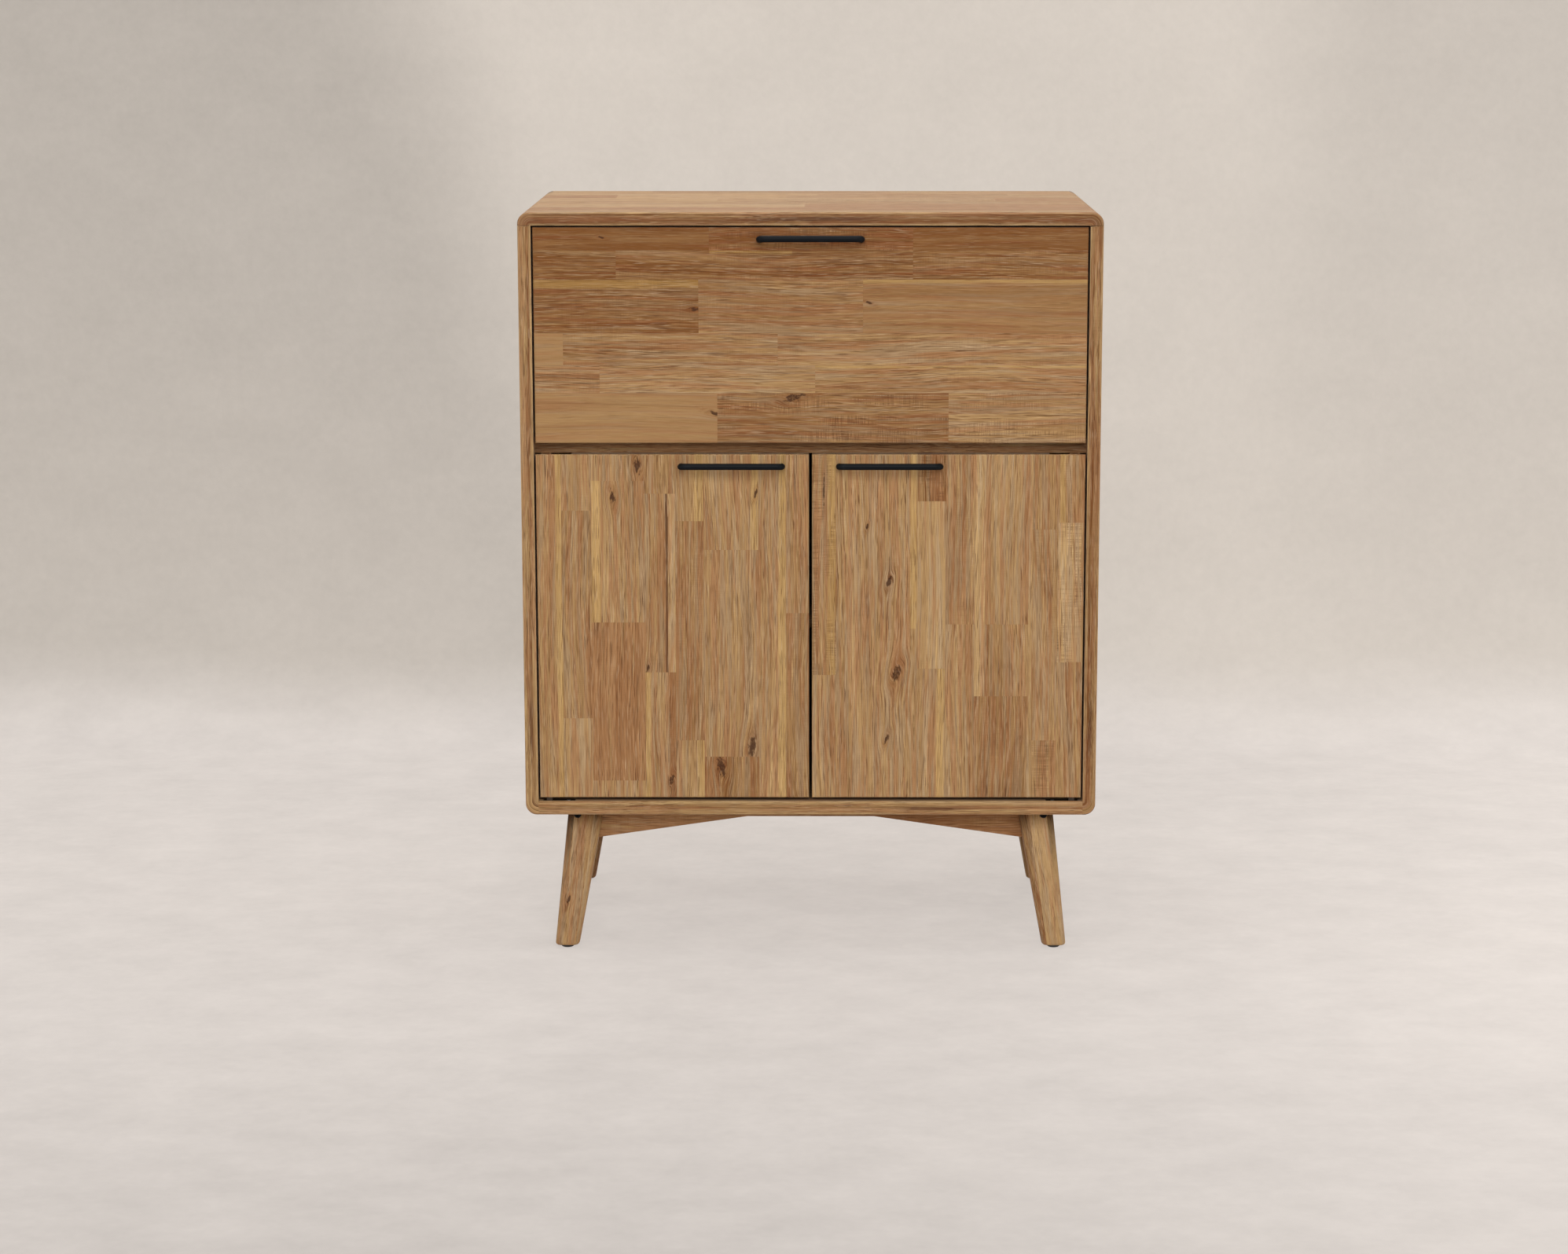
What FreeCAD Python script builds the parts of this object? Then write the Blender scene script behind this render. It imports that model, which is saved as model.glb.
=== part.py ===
import FreeCAD, Part
import os
import re

import Sketcher

# Bar cabinet with a fold-out flap above two doors, on four splayed legs.
# Frame: +Z up, the front faces -Y, origin on the floor under the middle of the whole.

# Driving dimensions, in millimetres unless the name says degrees.
SIZES = {
    # Case
    "case_width": 800,
    "case_depth": 450,
    "case_height": 845,
    "top_thickness": 18,
    "side_thickness": 18,
    "bottom_thickness": 20,
    "divider_thickness": 22,
    "back_thickness": 6,
    "back_lap": 9,
    "back_slack": 0.5,
    "corner_round": 16,
    "edge_ease": 2,
    "tenon_thickness": 6,
    "tenon_width": 40,
    "tenon_depth": 10,
    "tenon_inset": 70,
    # Shelf
    "shelf_thickness": 18,
    "shelf_height": 236,
    "shelf_slack": 1,
    "shelf_setback": 40,
    "cleat_width": 14,
    "cleat_height": 20,
    "cleat_setback": 12,
    # Legs and rails
    "foot_pad_width": 17,
    "foot_pad_height": 5,
    "leg_height": 200,
    "leg_top_width": 50,
    "leg_foot_width": 34,
    "leg_round": 10,
    "leg_top_from_side": 82,
    "leg_foot_from_side": 53,
    "leg_top_from_front": 64,
    "leg_foot_from_front": 48,
    "rail_thickness": 20,
    "rail_setback": 12,
    "rail_end_height": 48,
    "rail_middle_height": 15,
    "rail_flat_length": 180,
    "side_rail_thickness": 18,
    "side_rail_height": 42,
    "side_rail_offset": 12,
    # Flap and doors
    "flap_thickness": 18,
    "flap_height": 297,
    "door_thickness": 18,
    "leaf_ease": 1.5,
    "side_gap": 2.5,
    "top_gap": 2.5,
    "middle_gap": 4,
    "bottom_gap": 5,
    "swing_gap": 1,
    "door_clearance": 1.8,
    # Handles
    "handle_length": 148,
    "handle_projection": 28,
    "handle_radius": 3.8,
    "handle_bend": 9,
    "handle_drop": 14,
    "handle_from_meeting_edge": 33,
    # Flap hinges
    "axis_rise": 5,
    "hinge_inset": 110,
    "hinge_width": 60,
    "hinge_leaf_length": 30,
    "hinge_leaf_thickness": 2,
    "knuckle_radius": 3,
    "knuckle_gap": 0.3,
    "hinge_pin_radius": 1.5,
    "pivot_play": 0.05,
    "notch_slack": 0.6,
    # Flap stays
    "stay_lift": 12,
    "stay_height": 170,
    "stay_angle_degrees": 41,
    "stay_swing_degrees": 90,
    "stay_bar_thickness": 2.5,
    "stay_bar_radius": 8,
    "stay_side_gap": 5,
    "stay_gap": 0.5,
    "stay_plate_thickness": 2,
    "stay_foot_width": 16,
    "stay_foot_length": 34,
    "stay_ear_radius": 7,
    "rivet_radius": 2.5,
    "rivet_head_radius": 5,
    "stud_radius": 3,
    "stud_head_radius": 6,
    "slot_slack": 0.3,
    # Door pivots
    "pivot_from_edge": 13,
    "pivot_from_front": 7.5,
    "pivot_plate_thickness": 2,
    "pivot_pin_radius": 2.5,
    "pivot_eye_radius": 5,
    "pivot_arm_width": 8,
    "pivot_pad_width": 14,
    "pivot_pad_length": 40,
    "pivot_leaf_width": 10,
    "pivot_leaf_length": 45,
    "pivot_leaf_end": 9,
    "pivot_slack": 0.5,
    "pivot_gap": 0.1,
    # Magnetic catches
    "catch_width": 44,
    "catch_depth": 14,
    "catch_height": 11,
    "catch_bevel": 1,
    "catch_gap": 0.2,
    "catch_from_meeting_edge": 45,
    "strike_thickness": 1.5,
    "strike_width": 36,
    "strike_height": 10,
    # How far a cutting tool runs past the face that it cuts
    "overrun": 5,
}

# Places and sizes that follow from the driving dimensions.
DERIVED = {
    "half_width": "case_width / 2",
    "front": "-(case_depth - handle_projection) / 2",
    "back": "(case_depth + handle_projection) / 2",
    "case_base": "foot_pad_height + leg_height",
    "case_top": "case_base + case_height",
    "under_top": "case_top - top_thickness",
    "floor_level": "case_base + bottom_thickness",
    "opening_half": "half_width - side_thickness",
    "back_inside": "back - back_thickness",
    "leaf_half": "opening_half - side_gap",
    "flap_top": "under_top - top_gap",
    "flap_base": "flap_top - flap_height",
    "flap_inside": "front + flap_thickness",
    "axis_level": "flap_base + axis_rise",
    "divider_base": "axis_level - divider_thickness",
    "divider_front": "flap_inside + axis_rise + swing_gap",
    "door_inside": "front + door_thickness",
    "door_base": "floor_level + bottom_gap",
    "door_top": "axis_level - sqrt(flap_thickness^2 + axis_rise^2) - door_clearance",
    "shelf_base": "floor_level + shelf_height",
    "shelf_front": "door_inside + shelf_setback",
    "handle_half": "handle_length / 2 - handle_radius",
    "handle_reach": "handle_projection - handle_radius",
    "knuckle_width": "(hinge_width - 2 * knuckle_gap) / 3",
    "knuckle_reach": "knuckle_radius + knuckle_gap",
    "hinge_place": "leaf_half - hinge_inset",
    "stay_radius": "sqrt(stay_lift^2 + stay_height^2)",
    "stay_closed": "2 * stay_radius * sin(stay_angle_degrees / 2)",
    "stay_open": "2 * stay_radius * sin((stay_angle_degrees + stay_swing_degrees) / 2)",
    "bar_inner": "bar_outer - stay_bar_thickness",
    "bar_outer": "opening_half - stay_side_gap",
    "ear_outer": "bar_inner - stay_gap",
    "ear_inner": "ear_outer - stay_plate_thickness",
    "rivet_end": "bar_outer + stay_gap + stay_plate_thickness",
    "rivet_y": "flap_inside + stay_lift",
    "rivet_z": "axis_level + stay_height",
    "stud_y": "flap_inside + stay_lift * cos(stay_angle_degrees) + stay_height * sin(stay_angle_degrees)",
    "stud_z": "axis_level + stay_height * cos(stay_angle_degrees) - stay_lift * sin(stay_angle_degrees)",
    "pivot_x": "leaf_half - pivot_from_edge",
    "pivot_y": "front + pivot_from_front",
    "arm_base": "divider_base - pivot_plate_thickness",
    "rebate_base": "arm_base - pivot_gap - pivot_plate_thickness",
    "pivot_leaf_inner": "pivot_x + pivot_leaf_end - pivot_leaf_length",
    "catch_front": "door_inside + strike_thickness + catch_gap",
    "rail_end": "half_width - leg_top_from_side",
}

# Side of an edge's box below which the edge counts as flat in that direction.
FLAT = 1e-4

SIDES = {"left": -1, "right": 1}
ENDS = {"front": 1, "back": -1}

doc = FreeCAD.newDocument("bar_cabinet")
sheet = doc.addObject("Spreadsheet::Sheet", "sizes")
for row, (alias, size) in enumerate(SIZES.items(), start=1):
    sheet.set(f"A{row}", alias)
    sheet.set(f"B{row}", str(size))
    sheet.setAlias(f"B{row}", alias)
doc.recompute()

TURNS = {
    "+z": FreeCAD.Rotation(),
    "-z": FreeCAD.Rotation(FreeCAD.Vector(1, 0, 0), 180),
    "+y": FreeCAD.Rotation(FreeCAD.Vector(1, 0, 0), -90),
    "-y": FreeCAD.Rotation(FreeCAD.Vector(1, 0, 0), 90),
    "+x": FreeCAD.Rotation(FreeCAD.Vector(0, 1, 0), 90),
    "-x": FreeCAD.Rotation(FreeCAD.Vector(0, 1, 0), -90),
}

nodes = []


def formula(text):
    """The text as an expression of the sheet, with derived places spelled out."""

    def spell(match):
        word = match.group()
        if word in DERIVED:
            return f"({formula(DERIVED[word])})"
        if word in SIZES:
            return f"sizes.{word}"
        return word

    return re.sub(r"[a-z_]+", spell, text)


def value(text):
    """The present value of a formula."""
    return float(sheet.evalExpression(formula(text)))


def bind(item, **texts):
    """Tie properties of an object to formulas."""
    for name, text in texts.items():
        item.setExpression(name, formula(text))


def place(item, corner):
    """Tie an object's position to three formulas."""
    for letter, text in zip("xyz", corner):
        item.setExpression(f"Placement.Base.{letter}", formula(text))


def node(item):
    """Count an object as one of the sub-parts that are written out."""
    nodes.append(item)
    return item


def box(name, size, corner):
    """A block with its lowest corner at a place."""
    item = doc.addObject("Part::Box", name)
    bind(item, Length=size[0], Width=size[1], Height=size[2])
    place(item, corner)
    return item


def span(name, low, high):
    """A block from its lowest to its highest corner."""
    return box(name, [f"({b}) - ({a})" for a, b in zip(low, high)], low)


def rod(name, way, radius, length, start):
    """A round rod that runs from a place in one of the six directions."""
    item = doc.addObject("Part::Cylinder", name)
    item.Placement.Rotation = TURNS[way]
    bind(item, Radius=radius, Height=length)
    place(item, start)
    return item


def fuse(name, *items):
    """One solid made of several."""
    item = doc.addObject("Part::MultiFuse", name)
    item.Shapes = list(items)
    return item


def group(name, items):
    """Several separate solids that count as one object."""
    item = doc.addObject("Part::Compound", name)
    item.Links = list(items)
    return item


def cut(name, base, *tools):
    """What is left of a solid after other solids are taken out of it."""
    item = doc.addObject("Part::Cut", name)
    item.Base = base
    item.Tool = tools[0] if len(tools) == 1 else group(f"{name}_tools", tools)
    return item


def new_body(name, corner=("0", "0", "0")):
    """An empty body at a place."""
    body = doc.addObject("PartDesign::Body", name)
    place(body, corner)
    return body


def new_sketch(body, plane, name, lift="0"):
    """An empty sketch on one of a body's own planes, moved along the plane's normal."""
    planes = {feature.Role: feature for feature in body.Origin.OriginFeatures}
    sketch = body.newObject("Sketcher::SketchObject", f"{body.Name}_{name}")
    sketch.AttachmentSupport = [(planes[plane], "")]
    sketch.MapMode = "FlatFace"
    sketch.setExpression("AttachmentOffset.Base.z", formula(lift))
    return sketch


def tie(sketch, kind, *where, text):
    """Add a dimension to a sketch and bind it to a formula."""
    index = sketch.addConstraint(Sketcher.Constraint(kind, *where, value(text)))
    sketch.setExpression(f"Constraints[{index}]", formula(text))


def point(pair):
    """A sketch point at the present value of two formulas."""
    return FreeCAD.Vector(value(pair[0]), value(pair[1]), 0)


def polygon(sketch, corners):
    """A closed outline through corners whose two coordinates are formulas."""
    count = len(corners)
    first = sketch.GeometryCount
    for index, corner in enumerate(corners):
        following = corners[(index + 1) % count]
        sketch.addGeometry(Part.LineSegment(point(corner), point(following)))
    for index, corner in enumerate(corners):
        side = first + index
        following = first + (index + 1) % count
        sketch.addConstraint(Sketcher.Constraint("Coincident", side, 2, following, 1))
        tie(sketch, "DistanceX", -1, 1, side, 1, text=corner[0])
        tie(sketch, "DistanceY", -1, 1, side, 1, text=corner[1])
    return sketch


def rectangle(sketch, low, high):
    """A closed rectangle between two opposite corners."""
    return polygon(sketch, [low, (high[0], low[1]), high, (low[0], high[1])])


def circle(sketch, centre, radius):
    """A circle round a centre whose two coordinates are formulas."""
    index = sketch.addGeometry(Part.Circle(point(centre), FreeCAD.Vector(0, 0, 1), value(radius)))
    tie(sketch, "DistanceX", -1, 1, index, 3, text=centre[0])
    tie(sketch, "DistanceY", -1, 1, index, 3, text=centre[1])
    tie(sketch, "Radius", index, text=radius)
    return sketch


def stadium(sketch, start, end, radius):
    """A closed outline with round ends along the sketch's first axis."""
    left, right = point((start, "0")), point((end, "0"))
    half = value(radius)
    normal = FreeCAD.Vector(0, 0, 1)
    rise = FreeCAD.Vector(0, half, 0)
    near, far = Part.Circle(left, normal, half), Part.Circle(right, normal, half)
    quarter = near.LastParameter / 4
    first = sketch.addGeometry(Part.ArcOfCircle(near, quarter, 3 * quarter))
    lower = sketch.addGeometry(Part.LineSegment(left - rise, right - rise))
    last = sketch.addGeometry(Part.ArcOfCircle(far, -quarter, quarter))
    upper = sketch.addGeometry(Part.LineSegment(right + rise, left + rise))
    ring = [first, lower, last, upper]
    for one, other in zip(ring, ring[1:] + ring[:1]):
        sketch.addConstraint(Sketcher.Constraint("Tangent", one, 2, other, 1))
    sketch.addConstraint(Sketcher.Constraint("PointOnObject", first, 3, -1))
    sketch.addConstraint(Sketcher.Constraint("PointOnObject", last, 3, -1))
    tie(sketch, "DistanceX", -1, 1, first, 3, text=start)
    tie(sketch, "DistanceX", -1, 1, last, 3, text=end)
    tie(sketch, "Radius", first, text=radius)
    return sketch


def pad(body, sketch, length):
    """Raise a sketch along its plane's normal."""
    feature = body.newObject("PartDesign::Pad", f"{sketch.Name}_pad")
    feature.Profile = sketch
    bind(feature, Length=length)
    doc.recompute()
    return feature


def pocket(body, sketch, depth, reverse=False):
    """Cut a sketch into the body, and make sure that it takes something away."""
    doc.recompute()
    before = body.Shape.Volume
    feature = body.newObject("PartDesign::Pocket", f"{sketch.Name}_pocket")
    feature.Profile = sketch
    feature.Reversed = reverse
    bind(feature, Length=depth)
    doc.recompute()
    if not body.Shape.Volume < before:
        raise RuntimeError(f"{feature.Name} cuts nothing")
    return feature


def dress(body, kind, name, test, size):
    """Round or bevel the edges whose bounding box passes a test."""
    doc.recompute()
    base = body.Tip
    chosen = [f"Edge{i}" for i, edge in enumerate(base.Shape.Edges, 1) if test(edge.BoundBox)]
    feature = body.newObject(f"PartDesign::{kind}", f"{body.Name}_{name}")
    feature.Base = (base, chosen)
    feature.setExpression("Radius" if kind == "Fillet" else "Size", formula(size))
    doc.recompute()
    return feature


def ease_front(body, size, test=lambda bounds: True):
    """Take the sharpness off the edges of a board's front face that pass a test."""
    doc.recompute()
    plane = min(vertex.Y for vertex in body.Tip.Shape.Vertexes)
    dress(body, "Chamfer", "ease", lambda bounds: bounds.YMax < plane + FLAT and test(bounds), size)


def mirrored(side, low, high):
    """The x range between two distances from the middle, on one side of the cabinet."""
    return (f"-({high})", f"-({low})") if side < 0 else (low, high)


def panel(name, low, high):
    """A board as a body: its front outline, raised over its depth from back to front."""
    body = new_body(name, ("0", high[1], "0"))
    outline = rectangle(new_sketch(body, "XZ_Plane", "outline"), (low[0], low[2]), (high[0], high[2]))
    pad(body, outline, f"({high[1]}) - ({low[1]})")
    return body


def back_rabbet(body, low, high):
    """The step at the rear of a board that the back panel lies in."""
    step = rectangle(new_sketch(body, "XZ_Plane", "rabbet"), low, high)
    pocket(body, step, "back_thickness", reverse=True)


# Loose tenons that join the boards of the case

def tenon(name, joint, side, share):
    """One flat tenon, half in the side board and half in the board that meets it."""
    along = f"front + tenon_inset + {share} * (case_depth - 2 * tenon_inset) - tenon_width / 2"
    if joint == "top":
        low, high = mirrored(side, "opening_half + (side_thickness - tenon_thickness) / 2",
                             "opening_half + (side_thickness + tenon_thickness) / 2")
        return span(name, (low, along, "under_top - tenon_depth"),
                    (high, f"{along} + tenon_width", "under_top + tenon_depth"))
    level = {
        "bottom": "case_base + bottom_thickness / 2",
        "divider": "axis_level - divider_thickness / 2",
    }[joint]
    low, high = mirrored(side, "opening_half - tenon_depth", "opening_half + tenon_depth")
    return span(name, (low, along, f"{level} - tenon_thickness / 2"),
                (high, f"{along} + tenon_width", f"{level} + tenon_thickness / 2"))


tenons = {}
for joint in ("top", "bottom", "divider"):
    for side_name, side in SIDES.items():
        for share in (0, 1):
            key = f"tenon_{joint}_{side_name}_{share}"
            tenons[joint, side, share] = tenon(key, joint, side, share)
node(group("case_tenons", tenons.values()))


def tenons_of(joints, sides=(-1, 1)):
    """The tenons of some joints on some sides."""
    return [item for (joint, side, share), item in tenons.items() if joint in joints and side in sides]


# Handles: one bent rod each, its two ends butted against the front

def handle(name, centre, level):
    """A bar pull round a centre at a level."""
    body = node(new_body(name, (centre, "front", level)))
    path = new_sketch(body, "XY_Plane", "path")
    half, reach, bend = value("handle_half"), value("handle_reach"), value("handle_bend")
    normal = FreeCAD.Vector(0, 0, 1)
    turn = Part.Circle(FreeCAD.Vector(0, 0, 0), normal, bend).LastParameter
    left = Part.Circle(FreeCAD.Vector(bend - half, bend - reach, 0), normal, bend)
    right = Part.Circle(FreeCAD.Vector(half - bend, bend - reach, 0), normal, bend)
    route = [
        Part.LineSegment(FreeCAD.Vector(-half, 0, 0), FreeCAD.Vector(-half, bend - reach, 0)),
        Part.ArcOfCircle(left, turn / 2, turn * 3 / 4),
        Part.LineSegment(FreeCAD.Vector(bend - half, -reach, 0), FreeCAD.Vector(half - bend, -reach, 0)),
        Part.ArcOfCircle(right, turn * 3 / 4, turn),
        Part.LineSegment(FreeCAD.Vector(half, bend - reach, 0), FreeCAD.Vector(half, 0, 0)),
    ]
    for piece in route:
        path.addGeometry(piece)
    for index in range(len(route) - 1):
        path.addConstraint(Sketcher.Constraint("Tangent", index, 2, index + 1, 1))
    path.addConstraint(Sketcher.Constraint("Vertical", 0))
    path.addConstraint(Sketcher.Constraint("Vertical", 4))
    tie(path, "DistanceX", -1, 1, 0, 1, text="-handle_half")
    tie(path, "DistanceX", -1, 1, 4, 2, text="handle_half")
    tie(path, "DistanceY", -1, 1, 0, 1, text="0")
    tie(path, "DistanceY", -1, 1, 4, 2, text="0")
    tie(path, "DistanceY", -1, 1, 2, 1, text="-handle_reach")
    tie(path, "Radius", 1, text="handle_bend")
    tie(path, "Radius", 3, text="handle_bend")
    section = circle(new_sketch(body, "XZ_Plane", "section"), ("-handle_half", "0"), "handle_radius")
    pipe = body.newObject("PartDesign::AdditivePipe", f"{name}_pipe")
    pipe.Profile = section
    pipe.Spine = path
    doc.recompute()


# Flap hinges: two butt hinges let into the divider and the flap

def flap_hinge(side_name, side):
    """The pin and the two leaves of one hinge."""
    name = f"flap_hinge_{side_name}"
    centre = f"{side} * hinge_place"
    left, right = f"{centre} - hinge_width / 2", f"{centre} + hinge_width / 2"
    tab_left, tab_right = f"{centre} - knuckle_width / 2", f"{centre} + knuckle_width / 2"
    pin = rod(f"{name}_pin", "+x", "hinge_pin_radius", "hinge_width", (left, "flap_inside", "axis_level"))

    low_face = "axis_level - hinge_leaf_thickness"
    plate_y = "flap_inside + knuckle_reach"
    case_blank = fuse(
        f"{name}_case_blank",
        span(f"{name}_case_plate", (left, plate_y, low_face),
             (right, f"{plate_y} + hinge_leaf_length", "axis_level")),
        span(f"{name}_case_tab", (tab_left, "flap_inside", low_face), (tab_right, plate_y, "axis_level")),
        rod(f"{name}_case_knuckle", "+x", "knuckle_radius", "knuckle_width",
            (tab_left, "flap_inside", "axis_level")),
    )
    case_leaf = node(cut(f"{name}_case_leaf", case_blank, pin))

    deep_face = "flap_inside - hinge_leaf_thickness"
    plate_z = "axis_level + knuckle_reach"
    pieces = [span(f"{name}_flap_plate", (left, deep_face, plate_z),
                   (right, "flap_inside", f"{plate_z} + hinge_leaf_length"))]
    for way, start, end in (("left", left, f"{left} + knuckle_width"),
                            ("right", f"{right} - knuckle_width", right)):
        pieces.append(span(f"{name}_flap_tab_{way}", (start, deep_face, "axis_level"),
                           (end, "flap_inside", plate_z)))
        pieces.append(rod(f"{name}_flap_knuckle_{way}", "+x", "knuckle_radius", "knuckle_width",
                          (start, "flap_inside", "axis_level")))
    bore = rod(f"{name}_bore", "+x", "hinge_pin_radius + pivot_play", "hinge_width + 2 * overrun",
               (f"{left} - overrun", "flap_inside", "axis_level"))
    flap_leaf = node(cut(f"{name}_flap_leaf", fuse(f"{name}_flap_blank", *pieces), bore))
    return pin, case_leaf, flap_leaf


# Flap stays: a slotted bar on each side slides on a stud and stops the flap level

def stay(side_name, side):
    """The bar, its bracket on the flap and its stud on the side board."""
    name = f"stay_{side_name}"

    def across(distance):
        return f"{side} * ({distance})"

    body = node(new_body(f"stay_bar_{side_name}",
                         (across("bar_inner" if side > 0 else "bar_outer"), "rivet_y", "rivet_z")))
    body.Placement.Rotation = FreeCAD.Rotation(FreeCAD.Vector(-1, 0, 0), value("stay_angle_degrees"))
    body.setExpression("Placement.Rotation.Angle",
                       formula("stay_angle_degrees / 2 * 1 deg + atan(stay_lift / stay_height)"))
    pad(body, stadium(new_sketch(body, "YZ_Plane", "outline"), "0", "stay_open", "stay_bar_radius"),
        "stay_bar_thickness")
    slot = stadium(new_sketch(body, "YZ_Plane", "slot"), "stay_closed - slot_slack", "stay_open + slot_slack",
                   "stud_radius + slot_slack")
    pocket(body, slot, "stay_bar_thickness", reverse=True)
    eye = circle(new_sketch(body, "YZ_Plane", "eye"), ("0", "0"), "rivet_radius + pivot_play")
    pocket(body, eye, "stay_bar_thickness", reverse=True)

    foot_low, foot_high = mirrored(side, "ear_outer - stay_foot_width", "ear_outer")
    ear_low, ear_high = mirrored(side, "ear_inner", "ear_outer")
    outward = "+x" if side > 0 else "-x"
    bracket = fuse(
        f"{name}_bracket",
        span(f"{name}_foot", (foot_low, "flap_inside", "rivet_z - stay_foot_length / 2"),
             (foot_high, "flap_inside + stay_plate_thickness", "rivet_z + stay_foot_length / 2")),
        span(f"{name}_ear", (ear_low, "flap_inside", "rivet_z - stay_ear_radius"),
             (ear_high, "rivet_y", "rivet_z + stay_ear_radius")),
        rod(f"{name}_ear_end", outward, "stay_ear_radius", "stay_plate_thickness",
            (across("ear_inner"), "rivet_y", "rivet_z")),
        rod(f"{name}_rivet", outward, "rivet_radius", "rivet_end - ear_inner",
            (across("ear_inner"), "rivet_y", "rivet_z")),
        rod(f"{name}_rivet_head", outward, "rivet_head_radius", "stay_plate_thickness",
            (across("bar_outer + stay_gap"), "rivet_y", "rivet_z")),
    )

    plate_low, plate_high = mirrored(side, "opening_half - stay_plate_thickness", "opening_half")
    inward = "-x" if side > 0 else "+x"
    stud = fuse(
        f"{name}_stud",
        span(f"{name}_stud_plate",
             (plate_low, "stud_y - stay_foot_width / 2", "stud_z - stay_foot_length / 2"),
             (plate_high, "stud_y + stay_foot_width / 2", "stud_z + stay_foot_length / 2")),
        rod(f"{name}_stud_neck", inward, "stud_radius", "opening_half - ear_inner",
            (across("opening_half"), "stud_y", "stud_z")),
        rod(f"{name}_stud_head", inward, "stud_head_radius", "stay_plate_thickness",
            (across("ear_outer"), "stud_y", "stud_z")),
    )
    return bracket, stud


# Doors on pivots at their top and bottom edges

def door(side_name, side):
    """One door with its handle, pivots and strike plate, and the case half of its pivots."""
    name = f"door_{side_name}"
    low, high = mirrored(side, "middle_gap / 2", "leaf_half")
    blank = panel(f"{name}_blank", (low, "front", "door_base"), (high, "door_inside", "door_top"))
    rebate_low, rebate_high = mirrored(side, "pivot_leaf_inner - pivot_slack", "leaf_half")
    rebate = rectangle(new_sketch(blank, "XZ_Plane", "rebate"),
                       (rebate_low, "rebate_base"), (rebate_high, "door_top"))
    pocket(blank, rebate, "door_inside - pivot_y + pivot_eye_radius + pivot_slack", reverse=True)
    ease_front(blank, "leaf_ease")

    def across(distance):
        return f"{side} * ({distance})"

    leaf_low, leaf_high = mirrored(side, "pivot_leaf_inner", "pivot_x + pivot_leaf_end")
    leaf_front, leaf_back = "pivot_y - pivot_leaf_width / 2", "pivot_y + pivot_leaf_width / 2"
    axis = (across("pivot_x"), "pivot_y")

    node(fuse(
        f"{name}_top_pivot",
        span(f"{name}_top_plate", (leaf_low, leaf_front, "rebate_base"),
             (leaf_high, leaf_back, "rebate_base + pivot_plate_thickness")),
        rod(f"{name}_top_pin", "+z", "pivot_pin_radius", "2 * pivot_plate_thickness + pivot_gap",
            (*axis, "rebate_base")),
    ))
    pad_low, pad_high = mirrored(side, "pivot_x - pivot_pad_width / 2", "pivot_x + pivot_pad_width / 2")
    arm_low, arm_high = mirrored(side, "pivot_x - pivot_arm_width / 2", "pivot_x + pivot_arm_width / 2")
    arm = fuse(
        f"{name}_arm_blank",
        rod(f"{name}_arm_eye", "+z", "pivot_eye_radius", "pivot_plate_thickness", (*axis, "arm_base")),
        span(f"{name}_arm_strip", (arm_low, "pivot_y", "arm_base"),
             (arm_high, "divider_front", "divider_base")),
        span(f"{name}_arm_pad", (pad_low, "divider_front", "arm_base"),
             (pad_high, "divider_front + pivot_pad_length", "divider_base")),
    )
    node(cut(f"door_pivot_arm_{side_name}", arm,
             rod(f"{name}_arm_bore", "+z", "pivot_pin_radius + pivot_play",
                 "pivot_plate_thickness + 2 * overrun", (*axis, "arm_base - overrun"))))

    block_front, block_back = "pivot_y - pivot_arm_width / 2", "pivot_y + pivot_arm_width / 2"
    plate = node(fuse(
        f"door_pivot_plate_{side_name}",
        span(f"{name}_bottom_plate", (leaf_low, leaf_front, "floor_level - pivot_plate_thickness"),
             (leaf_high, leaf_back, "floor_level")),
        span(f"{name}_bottom_block", (arm_low, block_front, "floor_level"),
             (arm_high, block_back, "door_base - pivot_gap")),
        rod(f"{name}_bottom_pin", "+z", "pivot_pin_radius", "bottom_gap + pivot_plate_thickness - pivot_gap",
            (*axis, "floor_level")),
    ))
    leaf_blank = span(f"{name}_bottom_leaf", (leaf_low, leaf_front, "door_base"),
                      (leaf_high, leaf_back, "door_base + pivot_plate_thickness"))
    leaf_bore = rod(f"{name}_bottom_bore", "+z", "pivot_pin_radius + pivot_play",
                    "pivot_plate_thickness + 2 * overrun", (*axis, "door_base - overrun"))
    node(cut(f"{name}_bottom_pivot", leaf_blank, leaf_bore))
    centre = across("middle_gap / 2 + handle_from_meeting_edge + handle_length / 2")
    handle(f"{name}_handle", centre, "door_top - handle_drop")
    node(cut(name, blank, leaf_blank))

    strike_low, strike_high = mirrored(side, "catch_from_meeting_edge - strike_width / 2",
                                       "catch_from_meeting_edge + strike_width / 2")
    node(span(f"{name}_strike", (strike_low, "door_inside", "divider_base - strike_height"),
              (strike_high, "door_inside + strike_thickness", "divider_base")))
    catch = magnet(f"{name}_catch", across("catch_from_meeting_edge"), "divider_base")
    return plate, catch


def magnet(name, centre, ceiling):
    """A magnetic catch that hangs from a board and pulls on a strike plate in front of it."""
    body = new_body(name, (centre, "catch_front + catch_depth", ceiling))
    face = rectangle(new_sketch(body, "XZ_Plane", "face"), ("-catch_width / 2", "-catch_height"),
                     ("catch_width / 2", "0"))
    pad(body, face, "catch_depth")
    lowest = value("-catch_height")
    dress(body, "Chamfer", "bevel", lambda bounds: bounds.ZMax < lowest + FLAT, "catch_bevel")
    return body


# Fold-out flap

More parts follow.
